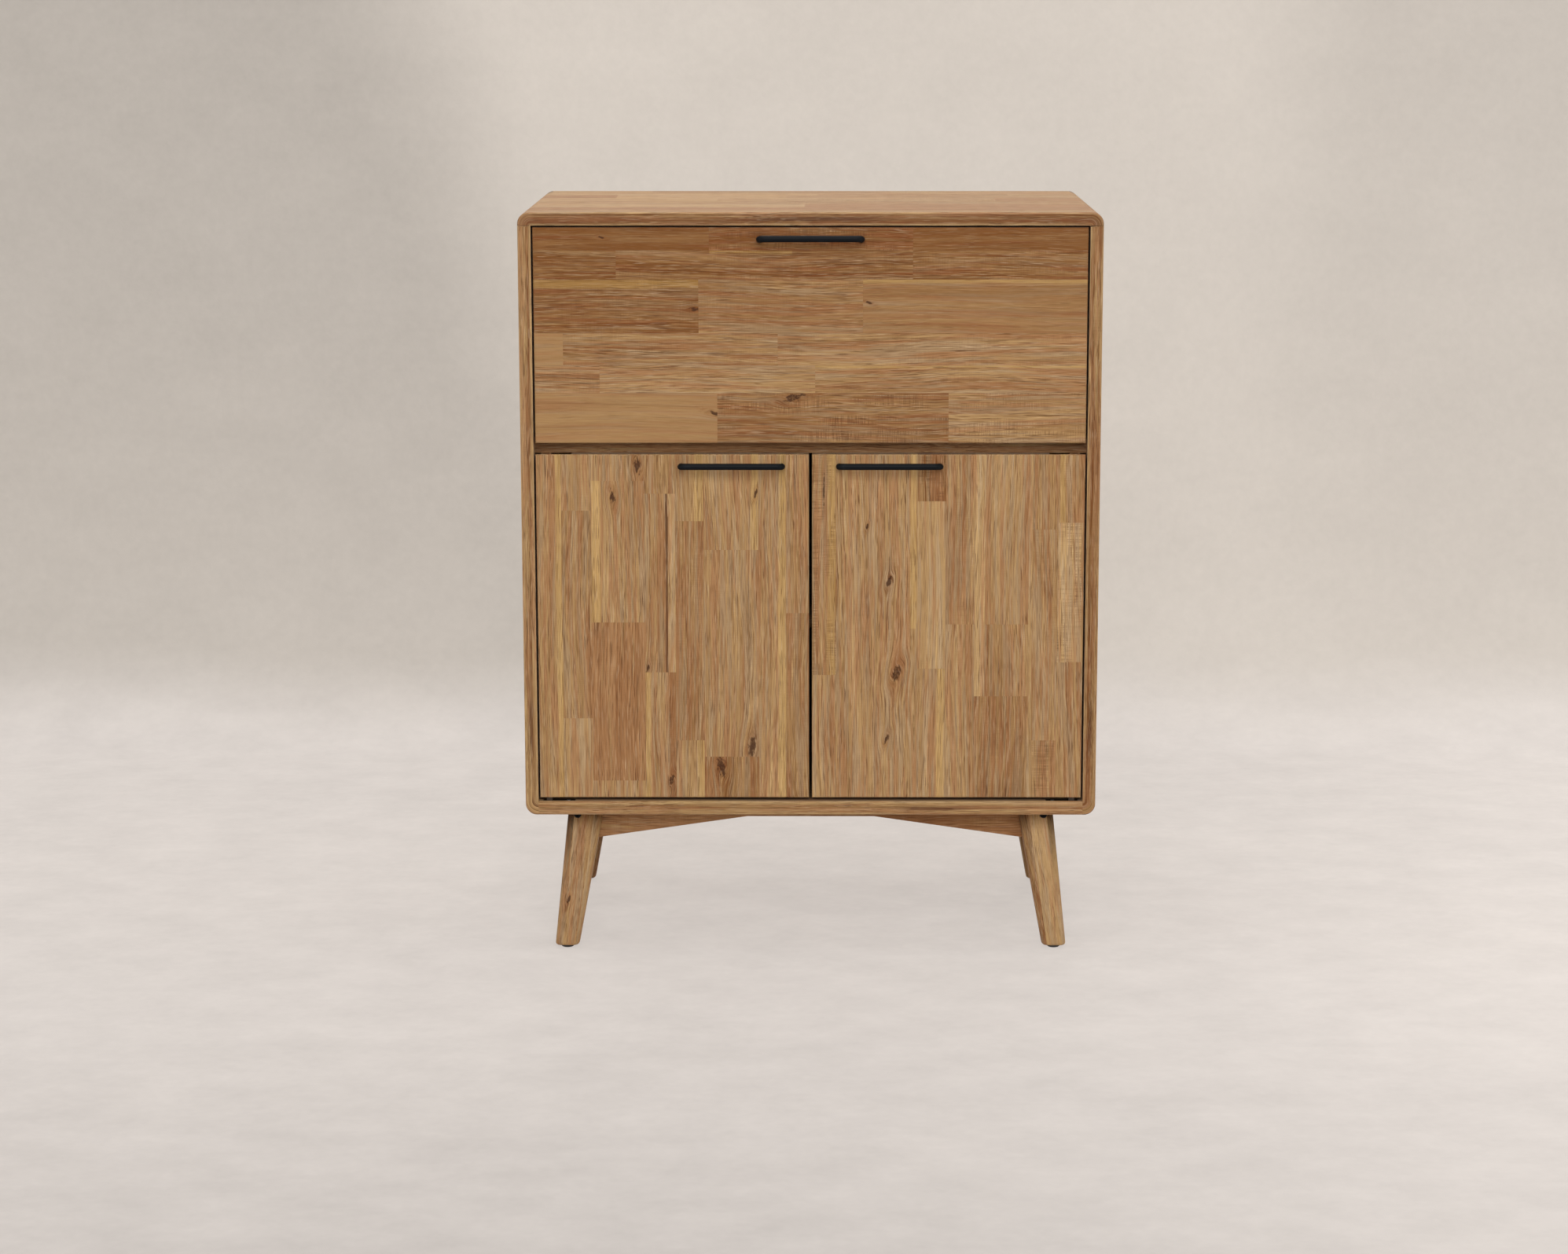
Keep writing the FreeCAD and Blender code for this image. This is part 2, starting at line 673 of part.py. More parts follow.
flap_blank = panel("flap_blank", ("-leaf_half", "front", "flap_base"),
                   ("leaf_half", "flap_inside", "flap_top"))
for side_name, side in SIDES.items():
    room = new_sketch(flap_blank, "XZ_Plane", f"knuckle_room_{side_name}")
    middle = f"{side} * hinge_place"
    rectangle(room, (f"{middle} - hinge_width / 2 - notch_slack", "flap_base"),
              (f"{middle} + hinge_width / 2 + notch_slack", "axis_level + knuckle_radius + notch_slack"))
    pocket(flap_blank, room, "knuckle_radius + notch_slack", reverse=True)
ease_front(flap_blank, "leaf_ease")

hinges = [flap_hinge(*item) for item in SIDES.items()]
brackets, studs = zip(*[stay(*item) for item in SIDES.items()])
node(group("flap_hinge_pins", [pin for pin, _, _ in hinges]))
node(group("stay_brackets", brackets))
node(group("stay_studs", studs))
handle("flap_handle", "0", "flap_top - handle_drop")
node(cut("fold_out_flap", flap_blank, *[leaf for _, _, leaf in hinges]))
node(span("flap_strike", ("-strike_width / 2", "flap_inside", "flap_top - strike_height"),
          ("strike_width / 2", "flap_inside + strike_thickness", "flap_top")))

doors = [door(*item) for item in SIDES.items()]
catches = [catch for _, catch in doors] + [magnet("flap_catch", "0", "under_top")]
node(group("magnetic_catches", catches))

# Shelf on two cleats

cleats = []
for side_name, side in SIDES.items():
    low, high = mirrored(side, "opening_half - cleat_width", "opening_half")
    cleats.append(span(f"cleat_{side_name}",
                       (low, "shelf_front + cleat_setback", "shelf_base - cleat_height"),
                       (high, "back_inside", "shelf_base")))
node(group("shelf_cleats", cleats))
shelf = node(panel(
    "inner_shelf",
    ("-(opening_half - shelf_slack)", "shelf_front", "shelf_base"),
    ("opening_half - shelf_slack", "back_inside - shelf_slack", "shelf_base + shelf_thickness"),
))
ease_front(shelf, "leaf_ease")

# Boards of the case

for side_name, side in SIDES.items():
    low, high = mirrored(side, "opening_half", "half_width")
    board = panel(f"side_board_{side_name}", (low, "front", "case_base"), (high, "back", "under_top"))
    rabbet_low, rabbet_high = mirrored(side, "opening_half", "opening_half + back_lap")
    back_rabbet(board, (rabbet_low, "floor_level - back_lap"), (rabbet_high, "under_top"))
    inside, outside = value(f"{side} * opening_half"), value(f"{side} * half_width")
    base = value("case_base")
    dress(board, "Fillet", "corner",
          lambda bounds: (bounds.YLength > FLAT and abs(bounds.XMin - outside) < FLAT
                          and abs(bounds.ZMax - base) < FLAT),
          "corner_round")
    ease_front(board, "edge_ease", lambda bounds: bounds.XLength > FLAT or abs(bounds.XMin - inside) > FLAT)
    joined = tenons_of(("top", "bottom", "divider"), (side,))
    node(cut(f"side_panel_{side_name}", board, *joined))

top_board = panel("top_board", ("-half_width", "front", "under_top"), ("half_width", "back", "case_top"))
back_rabbet(top_board, ("-(opening_half + back_lap)", "under_top"),
            ("opening_half + back_lap", "under_top + back_lap"))
ceiling = value("case_top")
dress(top_board, "Fillet", "corner",
      lambda bounds: bounds.XLength < FLAT and abs(bounds.ZMin - ceiling) < FLAT, "corner_round")
ease_front(top_board, "edge_ease", lambda bounds: bounds.ZMax > value("under_top") + FLAT)
node(cut("top_panel", top_board, *tenons_of(("top",))))

bottom_board = panel("bottom_board", ("-opening_half", "front", "case_base"),
                     ("opening_half", "back", "floor_level"))
back_rabbet(bottom_board, ("-opening_half", "floor_level - back_lap"), ("opening_half", "floor_level"))
ease_front(bottom_board, "edge_ease", lambda bounds: bounds.XLength > FLAT)
node(cut("bottom_panel", bottom_board, *tenons_of(("bottom",)), *[plate for plate, _ in doors]))

divider_board = panel("divider_board", ("-opening_half", "divider_front", "divider_base"),
                      ("opening_half", "back_inside", "axis_level"))
node(cut("divider_panel", divider_board, *[leaf for _, leaf, _ in hinges], *tenons_of(("divider",))))

node(panel("back_panel",
           ("-(opening_half + back_lap - back_slack)", "back_inside", "floor_level - back_lap + back_slack"),
           ("opening_half + back_lap - back_slack", "back", "under_top + back_lap - back_slack")))

# Legs, foot pads and rails


def taper(sketch, foot, top):
    """The outline of a leg seen from one side, from its foot up to the case."""
    return polygon(sketch, [
        (f"{foot} - leg_foot_width / 2", "foot_pad_height"),
        (f"{foot} + leg_foot_width / 2", "foot_pad_height"),
        (f"{top} + leg_top_width / 2", "case_base"),
        (f"{top} - leg_top_width / 2", "case_base"),
    ])


leg_length = value("leg_height")
legs = {}
foot_pads = []
for end_name, end in ENDS.items():
    foot_y = f"{end_name} + {end} * leg_foot_from_front"
    top_y = f"{end_name} + {end} * leg_top_from_front"
    for side_name, side in SIDES.items():
        foot_x = f"{side} * (half_width - leg_foot_from_side)"
        top_x = f"{side} * (half_width - leg_top_from_side)"
        leg = node(new_body(f"leg_{end_name}_{side_name}"))
        pad(leg, taper(new_sketch(leg, "XZ_Plane", "front_view", "-back"), foot_x, top_x), "case_depth")
        side_view = new_sketch(leg, "YZ_Plane", "side_view", "half_width")
        rectangle(side_view, ("front - overrun", "foot_pad_height - overrun"),
                  ("back + overrun", "case_base + overrun"))
        pocket(leg, taper(side_view, foot_y, top_y), "case_width")
        dress(leg, "Fillet", "arrises", lambda bounds: bounds.ZLength > leg_length - FLAT, "leg_round")
        legs[end, side] = leg
        foot_pads.append(span(
            f"foot_pad_{end_name}_{side_name}",
            (f"{foot_x} - foot_pad_width / 2", f"{foot_y} - foot_pad_width / 2", "0"),
            (f"{foot_x} + foot_pad_width / 2", f"{foot_y} + foot_pad_width / 2", "foot_pad_height"),
        ))
node(group("foot_pads", foot_pads))

for end_name, end in ENDS.items():
    near = f"{end_name} + {end} * (leg_top_from_front - leg_top_width / 2 + rail_setback)"
    rail_back = near if end < 0 else f"{near} + rail_thickness"
    rail = new_body(f"{end_name}_rail_blank", ("0", rail_back, "0"))
    gable = polygon(new_sketch(rail, "XZ_Plane", "gable"), [
        ("-rail_end", "case_base - rail_end_height"),
        ("-rail_flat_length / 2", "case_base - rail_middle_height"),
        ("rail_flat_length / 2", "case_base - rail_middle_height"),
        ("rail_end", "case_base - rail_end_height"),
        ("rail_end", "case_base"),
        ("-rail_end", "case_base"),
    ])
    pad(rail, gable, "rail_thickness")
    node(cut(f"{end_name}_rail", rail, legs[end, -1], legs[end, 1]))

for side_name, side in SIDES.items():
    low, high = mirrored(side, "rail_end + side_rail_offset - side_rail_thickness / 2",
                         "rail_end + side_rail_offset + side_rail_thickness / 2")
    rail = panel(f"side_rail_blank_{side_name}",
                 (low, "front + leg_top_from_front", "case_base - side_rail_height"),
                 (high, "back - leg_top_from_front", "case_base"))
    node(cut(f"side_rail_{side_name}", rail, legs[1, side], legs[-1, side]))

# Checks and files

doc.recompute()
for item in doc.Objects:
    if "Invalid" in item.State or "Error" in item.State:
        raise RuntimeError(f"{item.Name} failed: {item.State}")
os.makedirs("parts", exist_ok=True)
for item in nodes:
    shape = item.Shape
    if shape.isNull() or not shape.isValid() or not shape.Solids:
        raise RuntimeError(f"{item.Label} has no valid solid")
for item in nodes:
    item.Shape.exportStep(os.path.join("parts", f"{item.Label}.step"))
print(f"{len(nodes)} sub-parts written")
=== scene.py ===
"""Looks of the bar cabinet: glued acacia staves, black pulls, plated fittings and a plain pale studio."""

import math
import random

import bmesh
import bpy
from bpy.props import FloatProperty, FloatVectorProperty, PointerProperty
from mathutils import Matrix, Vector


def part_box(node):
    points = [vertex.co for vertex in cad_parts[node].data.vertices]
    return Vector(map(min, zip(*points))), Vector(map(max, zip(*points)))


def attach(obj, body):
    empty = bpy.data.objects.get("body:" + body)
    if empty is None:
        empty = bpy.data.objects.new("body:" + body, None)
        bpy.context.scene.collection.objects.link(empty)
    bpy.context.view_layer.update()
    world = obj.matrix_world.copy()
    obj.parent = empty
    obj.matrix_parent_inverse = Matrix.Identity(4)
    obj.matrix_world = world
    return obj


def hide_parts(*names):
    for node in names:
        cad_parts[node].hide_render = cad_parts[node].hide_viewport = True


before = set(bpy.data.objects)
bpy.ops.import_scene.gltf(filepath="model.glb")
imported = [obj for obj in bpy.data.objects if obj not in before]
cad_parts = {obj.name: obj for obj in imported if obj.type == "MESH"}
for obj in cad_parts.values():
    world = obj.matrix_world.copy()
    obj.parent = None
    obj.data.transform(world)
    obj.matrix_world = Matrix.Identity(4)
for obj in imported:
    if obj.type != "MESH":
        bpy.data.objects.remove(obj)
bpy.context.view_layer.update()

MM = 0.001
X, Y, Z = range(3)

# Planes of the case, in millimetres
FRONT, BACK = -211.0, 239.0       # show face of the doors and the flap, back of the case
LEAF_BACK = -193.0                # inner face of the doors and the flap
BASE, TOP_BASE = 205.0, 1032.0    # underside of the case and of its top
FLOOR, FLAP_FLOOR = 225.0, 737.5  # floors of the lower and the upper compartment
INSIDE = 382.0                    # from the middle to the inner face of a side
BOARD = 18.0                      # thickness of a board

bl_info = {
    "name": "Bar cabinet looks",
    "version": (1, 0, 0),
    "blender": (4, 5, 0),
    "location": "3D View > Sidebar > Cabinet",
    "description": "Dresses the packed bar cabinet in staved acacia, black pulls and plated fittings",
    "category": "Object",
}


# ---------------------------------------------------------------- settings

def colour(name, description, default):
    """A colour that the user can change."""
    return FloatVectorProperty(name=name, description=description, default=default,
                               subtype="COLOR", min=0, max=1)


def length(name, description, default):
    """A length that the user can change."""
    return FloatProperty(name=name, description=description, default=default, unit="LENGTH", subtype="DISTANCE")


def share(name, description, default):
    """A share between nothing and all."""
    return FloatProperty(name=name, description=description, default=default, subtype="FACTOR", min=0, max=1)


def angle(name, description, degrees):
    """A turn of the camera."""
    return FloatProperty(name=name, description=description, default=math.radians(degrees),
                         subtype="ANGLE", unit="ROTATION")


def watts(name, description, default):
    """The power of a lamp."""
    return FloatProperty(name=name, description=description, default=default, unit="POWER")


class CabinetAcacia(bpy.types.PropertyGroup):
    """Colours of the acacia staves, each from its darkest to its lightest fibres."""
    brown: colour("Brown, dark", "Darkest fibres of the brown heartwood", (0.178, 0.065, 0.012))
    tan: colour("Brown, light", "Lightest fibres of the brown heartwood", (0.513, 0.331, 0.147))
    russet: colour("Red, dark", "Darkest fibres of the reddish bands", (0.185, 0.056, 0.011))
    rose: colour("Red, light", "Lightest fibres of the reddish bands", (0.452, 0.249, 0.113))
    slate: colour("Grey, dark", "Darkest fibres of the greyish bands", (0.189, 0.092, 0.033))
    ash: colour("Grey, light", "Lightest fibres of the greyish bands", (0.480, 0.337, 0.188))
    amber: colour("Sapwood, dark", "Darkest fibres of the yellow strips", (0.264, 0.129, 0.024))
    straw: colour("Sapwood, light", "Lightest fibres of the yellow strips", (0.535, 0.344, 0.135))
    pore: colour("Pores", "Pores, late wood, cracks and knots", (0.090, 0.030, 0.009))
    fleck: colour("Flecks", "Pale brushed fibres", (0.560, 0.410, 0.255))
    sheen: share("Roughness", "Roughness of the oiled surface", 0.52)
    arris: length("Arris", "Easing of the sawn edges", 0.0007)


class CabinetFittings(bpy.types.PropertyGroup):
    """Colours and sizes of the metal and plastic fittings."""
    pull: colour("Pulls", "Powder coat of the pulls", (0.0038, 0.0048, 0.0066))
    steel: colour("Plated steel", "Hinges, stays, pivots and screws", (0.56, 0.55, 0.53))
    pad: colour("Pads", "Moulded foot pads", (0.017, 0.016, 0.016))
    catch: colour("Catches", "Moulded catch bodies", (0.105, 0.058, 0.030))
    rod: length("Pull rod", "Radius of the bent rod of a pull", 0.0045)
    head: length("Screw head", "Radius of a wood screw's head", 0.0034)
    pad_radius: length("Pad radius", "Radius of a foot pad", 0.0088)


class CabinetStage(bpy.types.PropertyGroup):
    """Backdrop, light and camera."""
    wall: colour("Wall", "Plaster of the backdrop", (0.648, 0.588, 0.526))
    floor: colour("Floor", "Plaster of the floor", (0.710, 0.655, 0.614))
    wall_distance: length("Wall", "Distance of the wall behind the middle of the cabinet", 1.31)
    eye: FloatVectorProperty(name="Camera", description="Place of the camera", default=(0.008, -4.735, 1.369),
                             subtype="XYZ", unit="LENGTH")
    tilt: angle("Tilt", "How far the camera looks down", 9.885)
    pan: angle("Pan", "How far the camera looks to the left", 0.09)
    lens: FloatProperty(name="Lens", description="Focal length in millimetres", default=76.07, unit="CAMERA")
    shift: FloatVectorProperty(name="Shift", description="Shift of the lens, in widths of the picture",
                               default=(-0.0173, -0.0480), size=2)
    overhead: watts("Overhead", "Power of the overhead light", 48.0)
    key: watts("Key", "Power of the light above the camera", 270.0)
    fill: watts("Fill", "Power of each light at the sides", 56.0)
    ambient: FloatProperty(name="Ambient", description="Strength of the even light", default=0.36)


# ---------------------------------------------------------------- finishes

class Value:
    """A number that changes over a surface: arithmetic on it adds Math nodes to its finish."""

    def __init__(self, finish, socket):
        self.finish = finish
        self.socket = socket

    def beside(self, name):
        """Another output of the same node."""
        return Value(self.finish, self.socket.node.outputs[name])

    def __add__(self, other):
        return self.finish.maths("ADD", self, other)

    def __sub__(self, other):
        return self.finish.maths("SUBTRACT", self, other)

    def __rsub__(self, other):
        return self.finish.maths("SUBTRACT", other, self)

    def __mul__(self, other):
        return self.finish.maths("MULTIPLY", self, other)

    def __truediv__(self, other):
        return self.finish.maths("DIVIDE", self, other)

    def __pow__(self, other):
        return self.finish.maths("POWER", self, other)

    def __abs__(self):
        return self.finish.maths("ABSOLUTE", self)

    __radd__ = __add__


class Finish:
    """The nodes of one material, or of the world, while they are put together."""

    def __init__(self, name, holder=None):
        self.holder = holder or bpy.data.materials.new(name)
        self.holder.use_nodes = True
        self.tree = self.holder.node_tree

    def feed(self, socket, value):
        """Link a value to a socket, or set a plain number or colour on it."""
        if isinstance(value, Value):
            self.tree.links.new(value.socket, socket)
        elif socket.type == "RGBA":
            socket.default_value = (*value[:3], 1.0)
        else:
            socket.default_value = value

    def node(self, kind, settings=(), sockets=(), out=0):
        """Add a node: its settings first, then the values or links of its sockets; gives one of its outputs."""
        made = self.tree.nodes.new(kind)
        for name, value in dict(settings).items():
            setattr(made, name, value)
        for name, value in dict(sockets).items():
            self.feed(made.inputs[name], value)
        return Value(self, made.outputs[out])

    def maths(self, operation, *terms):
        """One Math node."""
        return self.node("ShaderNodeMath", {"operation": operation}, dict(enumerate(terms)))

    def ease(self, value, low, high):
        """0 below low, 1 above high and a soft step between them; the other way round if high is below low."""
        return self.node("ShaderNodeMapRange", {"interpolation_type": "SMOOTHSTEP"},
                         {"Value": value, "From Min": low, "From Max": high})

    def mix(self, part, first, second):
        """The first colour, with a part of the second."""
        return self.node("ShaderNodeMix", {"data_type": "RGBA"}, {0: part, 6: first, 7: second}, 2)

    def scaled(self, tint, factor):
        """A colour made lighter or darker."""
        return self.node("ShaderNodeVectorMath", {"operation": "SCALE"}, {0: tint, "Scale": factor})

    def noise(self, x, y, z, detail=1.0, rough=0.5):
        """Soft noise about one half, one unit of its coordinates across."""
        place = self.node("ShaderNodeCombineXYZ", {}, {"X": x, "Y": y, "Z": z})
        return self.node("ShaderNodeTexNoise", {"noise_dimensions": "3D"},
                         {"Vector": place, "Scale": 1.0, "Detail": detail, "Roughness": rough})

    def place(self):
        """The point's three coordinates in the cabinet's frame, in millimetres."""
        point = self.node("ShaderNodeTexCoord", {}, {}, "Object")
        point = self.node("ShaderNodeVectorMath", {"operation": "SCALE"}, {0: point, "Scale": 1 / MM})
        parts = self.node("ShaderNodeSeparateXYZ", {}, {0: point})
        return [parts.beside(name) for name in "XYZ"]

    def facing(self, axis):
        """How squarely the surface faces along one of the cabinet's axes, from 0 to 1."""
        normal = self.node("ShaderNodeTexCoord", {}, {}, "Normal")
        return abs(self.node("ShaderNodeSeparateXYZ", {}, {0: normal}).beside("XYZ"[axis]))

    def carried(self, name):
        """Four numbers that a stave's faces carry."""
        tint = self.node("ShaderNodeAttribute", {"attribute_name": name}, {}, "Color")
        parts = self.node("ShaderNodeSeparateColor", {}, {0: tint})
        return [*(parts.beside(part) for part in ("Red", "Green", "Blue")), tint.beside("Alpha")]

    def dress(self, tint, roughness, height=None, depth=0.0003, strength=0.4, **plain):
        """Feed the shader and give the finished material; plain values go to the shader's own sockets."""
        sockets = self.tree.nodes["Principled BSDF"].inputs
        self.feed(sockets["Base Color"], tint)
        self.feed(sockets["Roughness"], roughness)
        if height is not None:
            bump = self.node("ShaderNodeBump", {}, {"Height": height, "Distance": depth, "Strength": strength})
            self.feed(sockets["Normal"], bump)
        for name, value in plain.items():
            sockets[name.replace("_", " ").title().replace("Ior", "IOR")].default_value = value
        return self.holder

    def seen(self):
        """1 where the camera, a mirror or a glass looks straight at the surface."""
        rays = self.node("ShaderNodeLightPath")
        straight = self.maths("MAXIMUM", rays.beside("Is Camera Ray"), rays.beside("Is Glossy Ray"))
        return self.maths("MAXIMUM", straight, rays.beside("Is Transmission Ray"))

    def show(self, shader, output):
        """Let the material or the world end in this shader."""
        self.feed(self.tree.nodes[output].inputs["Surface"], shader)


def board_grain(along, across, through, face):
    """Coordinates along, across and through a straight board, the last from its show face."""
    def grain(finish):
        place = finish.place()
        return place[along], place[across], abs(place[through] - face)
    return grain


def corner_grain(along, across, inner_x, inner_z):
    """Coordinates of a frame board whose grain follows the rounded corner of the case."""
    def grain(finish):
        x, y, z = finish.place()
        outward = abs(x) - inner_x
        upward = abs(z - inner_z)
        if along == X:
            outward = finish.maths("MAXIMUM", outward, 0.0)
        else:
            upward = finish.maths("MAXIMUM", inner_z - z, 0.0)
        layer = finish.maths("SQRT", outward * outward + upward * upward)
        return (x, y, z)[along], (x, y, z)[across], BOARD - layer
    return grain


LEG_SPLAY = 0.145


def leg_grain(finish):
    """Coordinates that follow the splay of the legs."""
    x, y, z = finish.place()
    return z, abs(x) + z * LEG_SPLAY, abs(y - 14.0) + z * 0.080


def knot_marks(f, a, c, far, seed):
    """How a stave's knot or crack pushes the grain aside, and how its stain, dark heart and grey flakes show."""
    knot_a, knot_c, size, age = f.carried("knot")
    ahead = a - knot_a
    aside = c - knot_c - ahead * f.maths("SINE", seed * 9.24) * 0.30
    crack = f.ease(age, 1.4, 1.6)
    slim = 0.15 - crack * 0.1484
    along, across, whole = ahead * ahead, aside * aside, size * size
    ragged = f.noise(far[0] / 7.0, far[1] / 3.2, far[2] / 3.2, 2.0) - 0.5
    eye = f.maths("SQRT", (along * slim + across) / whole) + ragged * 2.6
    swirl = f.maths("EXPONENT", (along * 0.022 + across * 0.12) / whole * -1.0)
    stain = f.ease(f.maths("SQRT", (along * 0.045 + across * 0.75) / whole) + ragged * 3.0, 2.6, 0.4)
    flake = f.ease(f.noise(far[0] / 3.4, far[1] / 2.2, far[2] / 2.2, 2.0), 0.46, 0.62)
    flake = f.ease(eye, 0.95, 0.45) * flake * 0.75 * age
    heart = f.ease(eye, 1.30, 0.70) * 0.86
    sound = 1.0 - crack
    return aside * swirl * sound, stain * 0.40 * sound, heart, flake * sound


def edge_layers_with_painted_light(f, a, t, far_a, seed, edge):
    """The layers and the dark streak on the front edge of a case board, with a painted highlight along both its
    arrises, and where that edge is.
    """
    tone, streak_a, streak_half = edge
    front = f.facing(Y) ** 3.0
    middle = t - BOARD / 2
    wander = (f.noise(far_a / 260.0, seed * 29.0, 7.0, 2.0) - 0.5) * 6.0
    # the tone shifts the whole edge; the top's darker tone is painted shade
    layers = (f.noise(far_a / 420.0, (t + wander) / 2.2, seed * 17.0) - 0.5) * 0.9 + tone
    layers = layers - f.ease(abs(t - 11.5 + wander), 4.2, 1.4) * 0.30
    layers = layers - f.ease(abs(t - 4.6 + wander * 0.5), 2.0, 0.6) * 0.14
    # painted highlight: both arrises of the edge made lighter
    layers = layers + f.ease(abs(middle), 6.8, 8.6) * 0.26
    streak = f.ease(abs(a - streak_a), streak_half, streak_half * 0.3)
    streak = streak * f.ease(abs(middle + wander * 0.4), 4.2, 1.0)
    return layers * front, streak * front * 0.62, front


def acacia(name, grain, end_axis, edge=None, gloss=0.17):
    """Oiled, brushed acacia whose staves carry their own tone, streaks and knots.

    The front edge of a case board shows its layers and a painted highlight along its arrises: edge gives its
    tone, which on the top is painted shade, and the middle and half length of a dark streak.
    """
    wood = bpy.context.scene.cabinet_acacia
    f = Finish(name)
    a, c, t = grain(f)
    seed, tone, redness, sawn = f.carried("stave")
    low, high, start, end = f.carried("edges")
    sap_c, sap_half, vein_c, vein_half = f.carried("streak")
    far_a, far_c, far_t = far = a + seed * 4100.0, c + seed * 1300.0, t + seed * 700.0

    # the grain wanders, and knots push it aside
    push, stain, heart, flake = knot_marks(f, a, c, far, seed)
    drift = f.noise(far_a / 430.0, far_c / 150.0, far_t / 150.0) - 0.5
    ripple = f.noise(far_a / 95.0, far_c / 34.0, far_t / 34.0) - 0.5
    waver = f.noise(far_a / 28.0, far_c / 12.0, far_t / 12.0) - 0.5
    side = far_c - push + drift * 30.0 + ripple * 1.7 + waver * 0.3

    def streaks(length, width, detail=1.0, rough=0.5, aside=0.0, inward=0.0):
        """Noise about one half, drawn out along the grain."""
        return f.noise(far_a / length, side / width + aside, far_t / width + inward, detail, rough)

    # growth rings round a pith behind the stave
    lean = f.maths("SINE", seed * 977.0)
    pith = side - far_c + c - (low + high) * 0.5 - lean * 52.0
    depth = t + 24.0 + abs(f.maths("SINE", seed * 631.0)) * 40.0
    depth = depth + (f.noise(far_a / 520.0, seed * 91.0, 3.1) - 0.5) * 52.0
    ring = f.maths("SQRT", pith * pith + depth * depth)
    phase = f.maths("FRACT", ring / 8.6 + ripple * 0.35 + seed * 13.0)
    late = phase ** 5.0 * f.ease(f.noise(ring / 9.0, far_a / 300.0, seed * 37.0), 0.36, 0.68)
    band = f.noise(ring / 10.0 + seed * 53.0, far_a / 700.0, seed * 19.0, 2.0) - 0.5

    # fibres, fine brushing, pores and pale flecks, weaker on a smooth stave
    calm = f.ease(sawn, 0.0, -1.0)
    busy = f.ease(streaks(150.0, 13.0), 0.32, 0.66) * 0.55 + 0.70
    busy = busy * (1.0 - calm * 0.72)
    fibre = (streaks(130.0, 2.1, 2.0, 0.62) - 0.5) * busy
    brush = (streaks(32.0, 1.2, 1.0, 0.66) - 0.5) * busy
    pore = f.ease(streaks(32.0, 0.86, aside=17.0), 0.585, 0.66) * busy
    fleck = f.ease(streaks(25.0, 0.92, aside=40.0), 0.58, 0.69) * busy
    varied = 1.0 - calm * 0.65
    hue = (streaks(190.0, 7.0, 2.0, 0.6, inward=60.0) - 0.5) * varied + 0.5
    pallor = (streaks(150.0, 6.0, 2.0, 0.6, aside=90.0) - 0.5) * varied + 0.5

    # brown, reddish and greyish bands, yellow sapwood and a dark vein
    light = tone * 0.50 + band * (1.0 - calm * 0.40) * 0.66 + fibre * 0.82 + brush * 0.58 + 0.55
    greyness = f.ease(pallor - f.ease(redness, 1.0, 2.0) * 0.12, 0.49, 0.61)
    greyness = greyness * (0.80 - f.ease(tone, -0.5, -0.95) * 0.40)
    streak = 0.0
    if edge:
        layers, streak, front = edge_layers_with_painted_light(f, a, t, far_a, seed, edge)
        light = light + layers
        greyness = greyness * (1.0 - front * 0.75)
    tint = f.mix(light, wood.brown, wood.tan)
    tint = f.mix(f.ease(hue + redness * 0.09, 0.47, 0.60) * 0.85, tint, f.mix(light, wood.russet, wood.rose))
    tint = f.mix(greyness, tint, f.mix(light, wood.slate, wood.ash))
    sap = f.ease(abs(c - sap_c + ripple * 6.0 + fibre * 3.0) - sap_half, 2.0, -2.0)
    tint = f.mix(sap * 0.80, tint, f.mix(light + 0.16, wood.amber, wood.straw))
    vein = f.ease(abs(c - vein_c + ripple * 1.2) - vein_half, 0.6, -0.6)
    tint = f.mix(vein * 0.85, tint, wood.pore)
    tint = f.mix(pore * 0.56 + late * 0.22 + streak, tint, wood.pore)
    tint = f.mix(fleck * 0.30, tint, wood.fleck)

    # saw marks across the grain, strongest on the rough staves
    patch = f.ease(f.noise(far_a / 70.0, far_c / 20.0, far_t / 20.0), 0.38, 0.60)
    patch = patch * (f.maths("MAXIMUM", sawn, 0.0) + 0.16 - calm * 0.10)
    tooth = f.ease(f.noise(a / 1.25 + seed * 300.0, far_c / 26.0, far_t / 40.0), 0.42, 0.60)
    tooth = tooth * f.ease(fibre, -0.16, 0.12) * patch
    tint = f.mix(tooth * 0.46, tint, wood.pore)
    tint = f.scaled(tint, fibre * 0.18 + brush * 0.25 + patch * 0.05 + 1.0)

    # knots: a stain along the grain, a dark heart and grey flakes in it
    tint = f.mix(stain, tint, wood.russet)
    tint = f.mix(heart, tint, f.scaled(wood.pore, 0.5))
    tint = f.mix(flake, tint, wood.slate)

    # glue lines and end grain
    joint = f.maths("MINIMUM", c - low, high - c)
    butt = f.maths("MINIMUM", a - start, end - a)
    tint = f.scaled(tint, 1.0 - f.ease(joint, 0.55, 0.10) * 0.10 - f.ease(butt, 0.50, 0.10) * 0.03)
    cut = f.ease(f.facing(end_axis), 0.72, 0.95)
    tint = f.scaled(tint, 1.0 - cut * (0.34 + pore * 0.2))

    rough = wood.sheen + fibre * 0.22 + pore * 0.20 + cut * 0.14 - sap * 0.03
    height = fibre * 0.6 + brush * 0.7 - pore * 0.9 - late * 0.3 - tooth * 0.6 - f.ease(joint, 0.5, 0.0) * 0.3
    return f.dress(tint, rough, height, 0.00040, 0.55, specular_ior_level=gloss, sheen_weight=0.05)


VENEER_START, VENEER_WIDTH = -390.5, 195.25


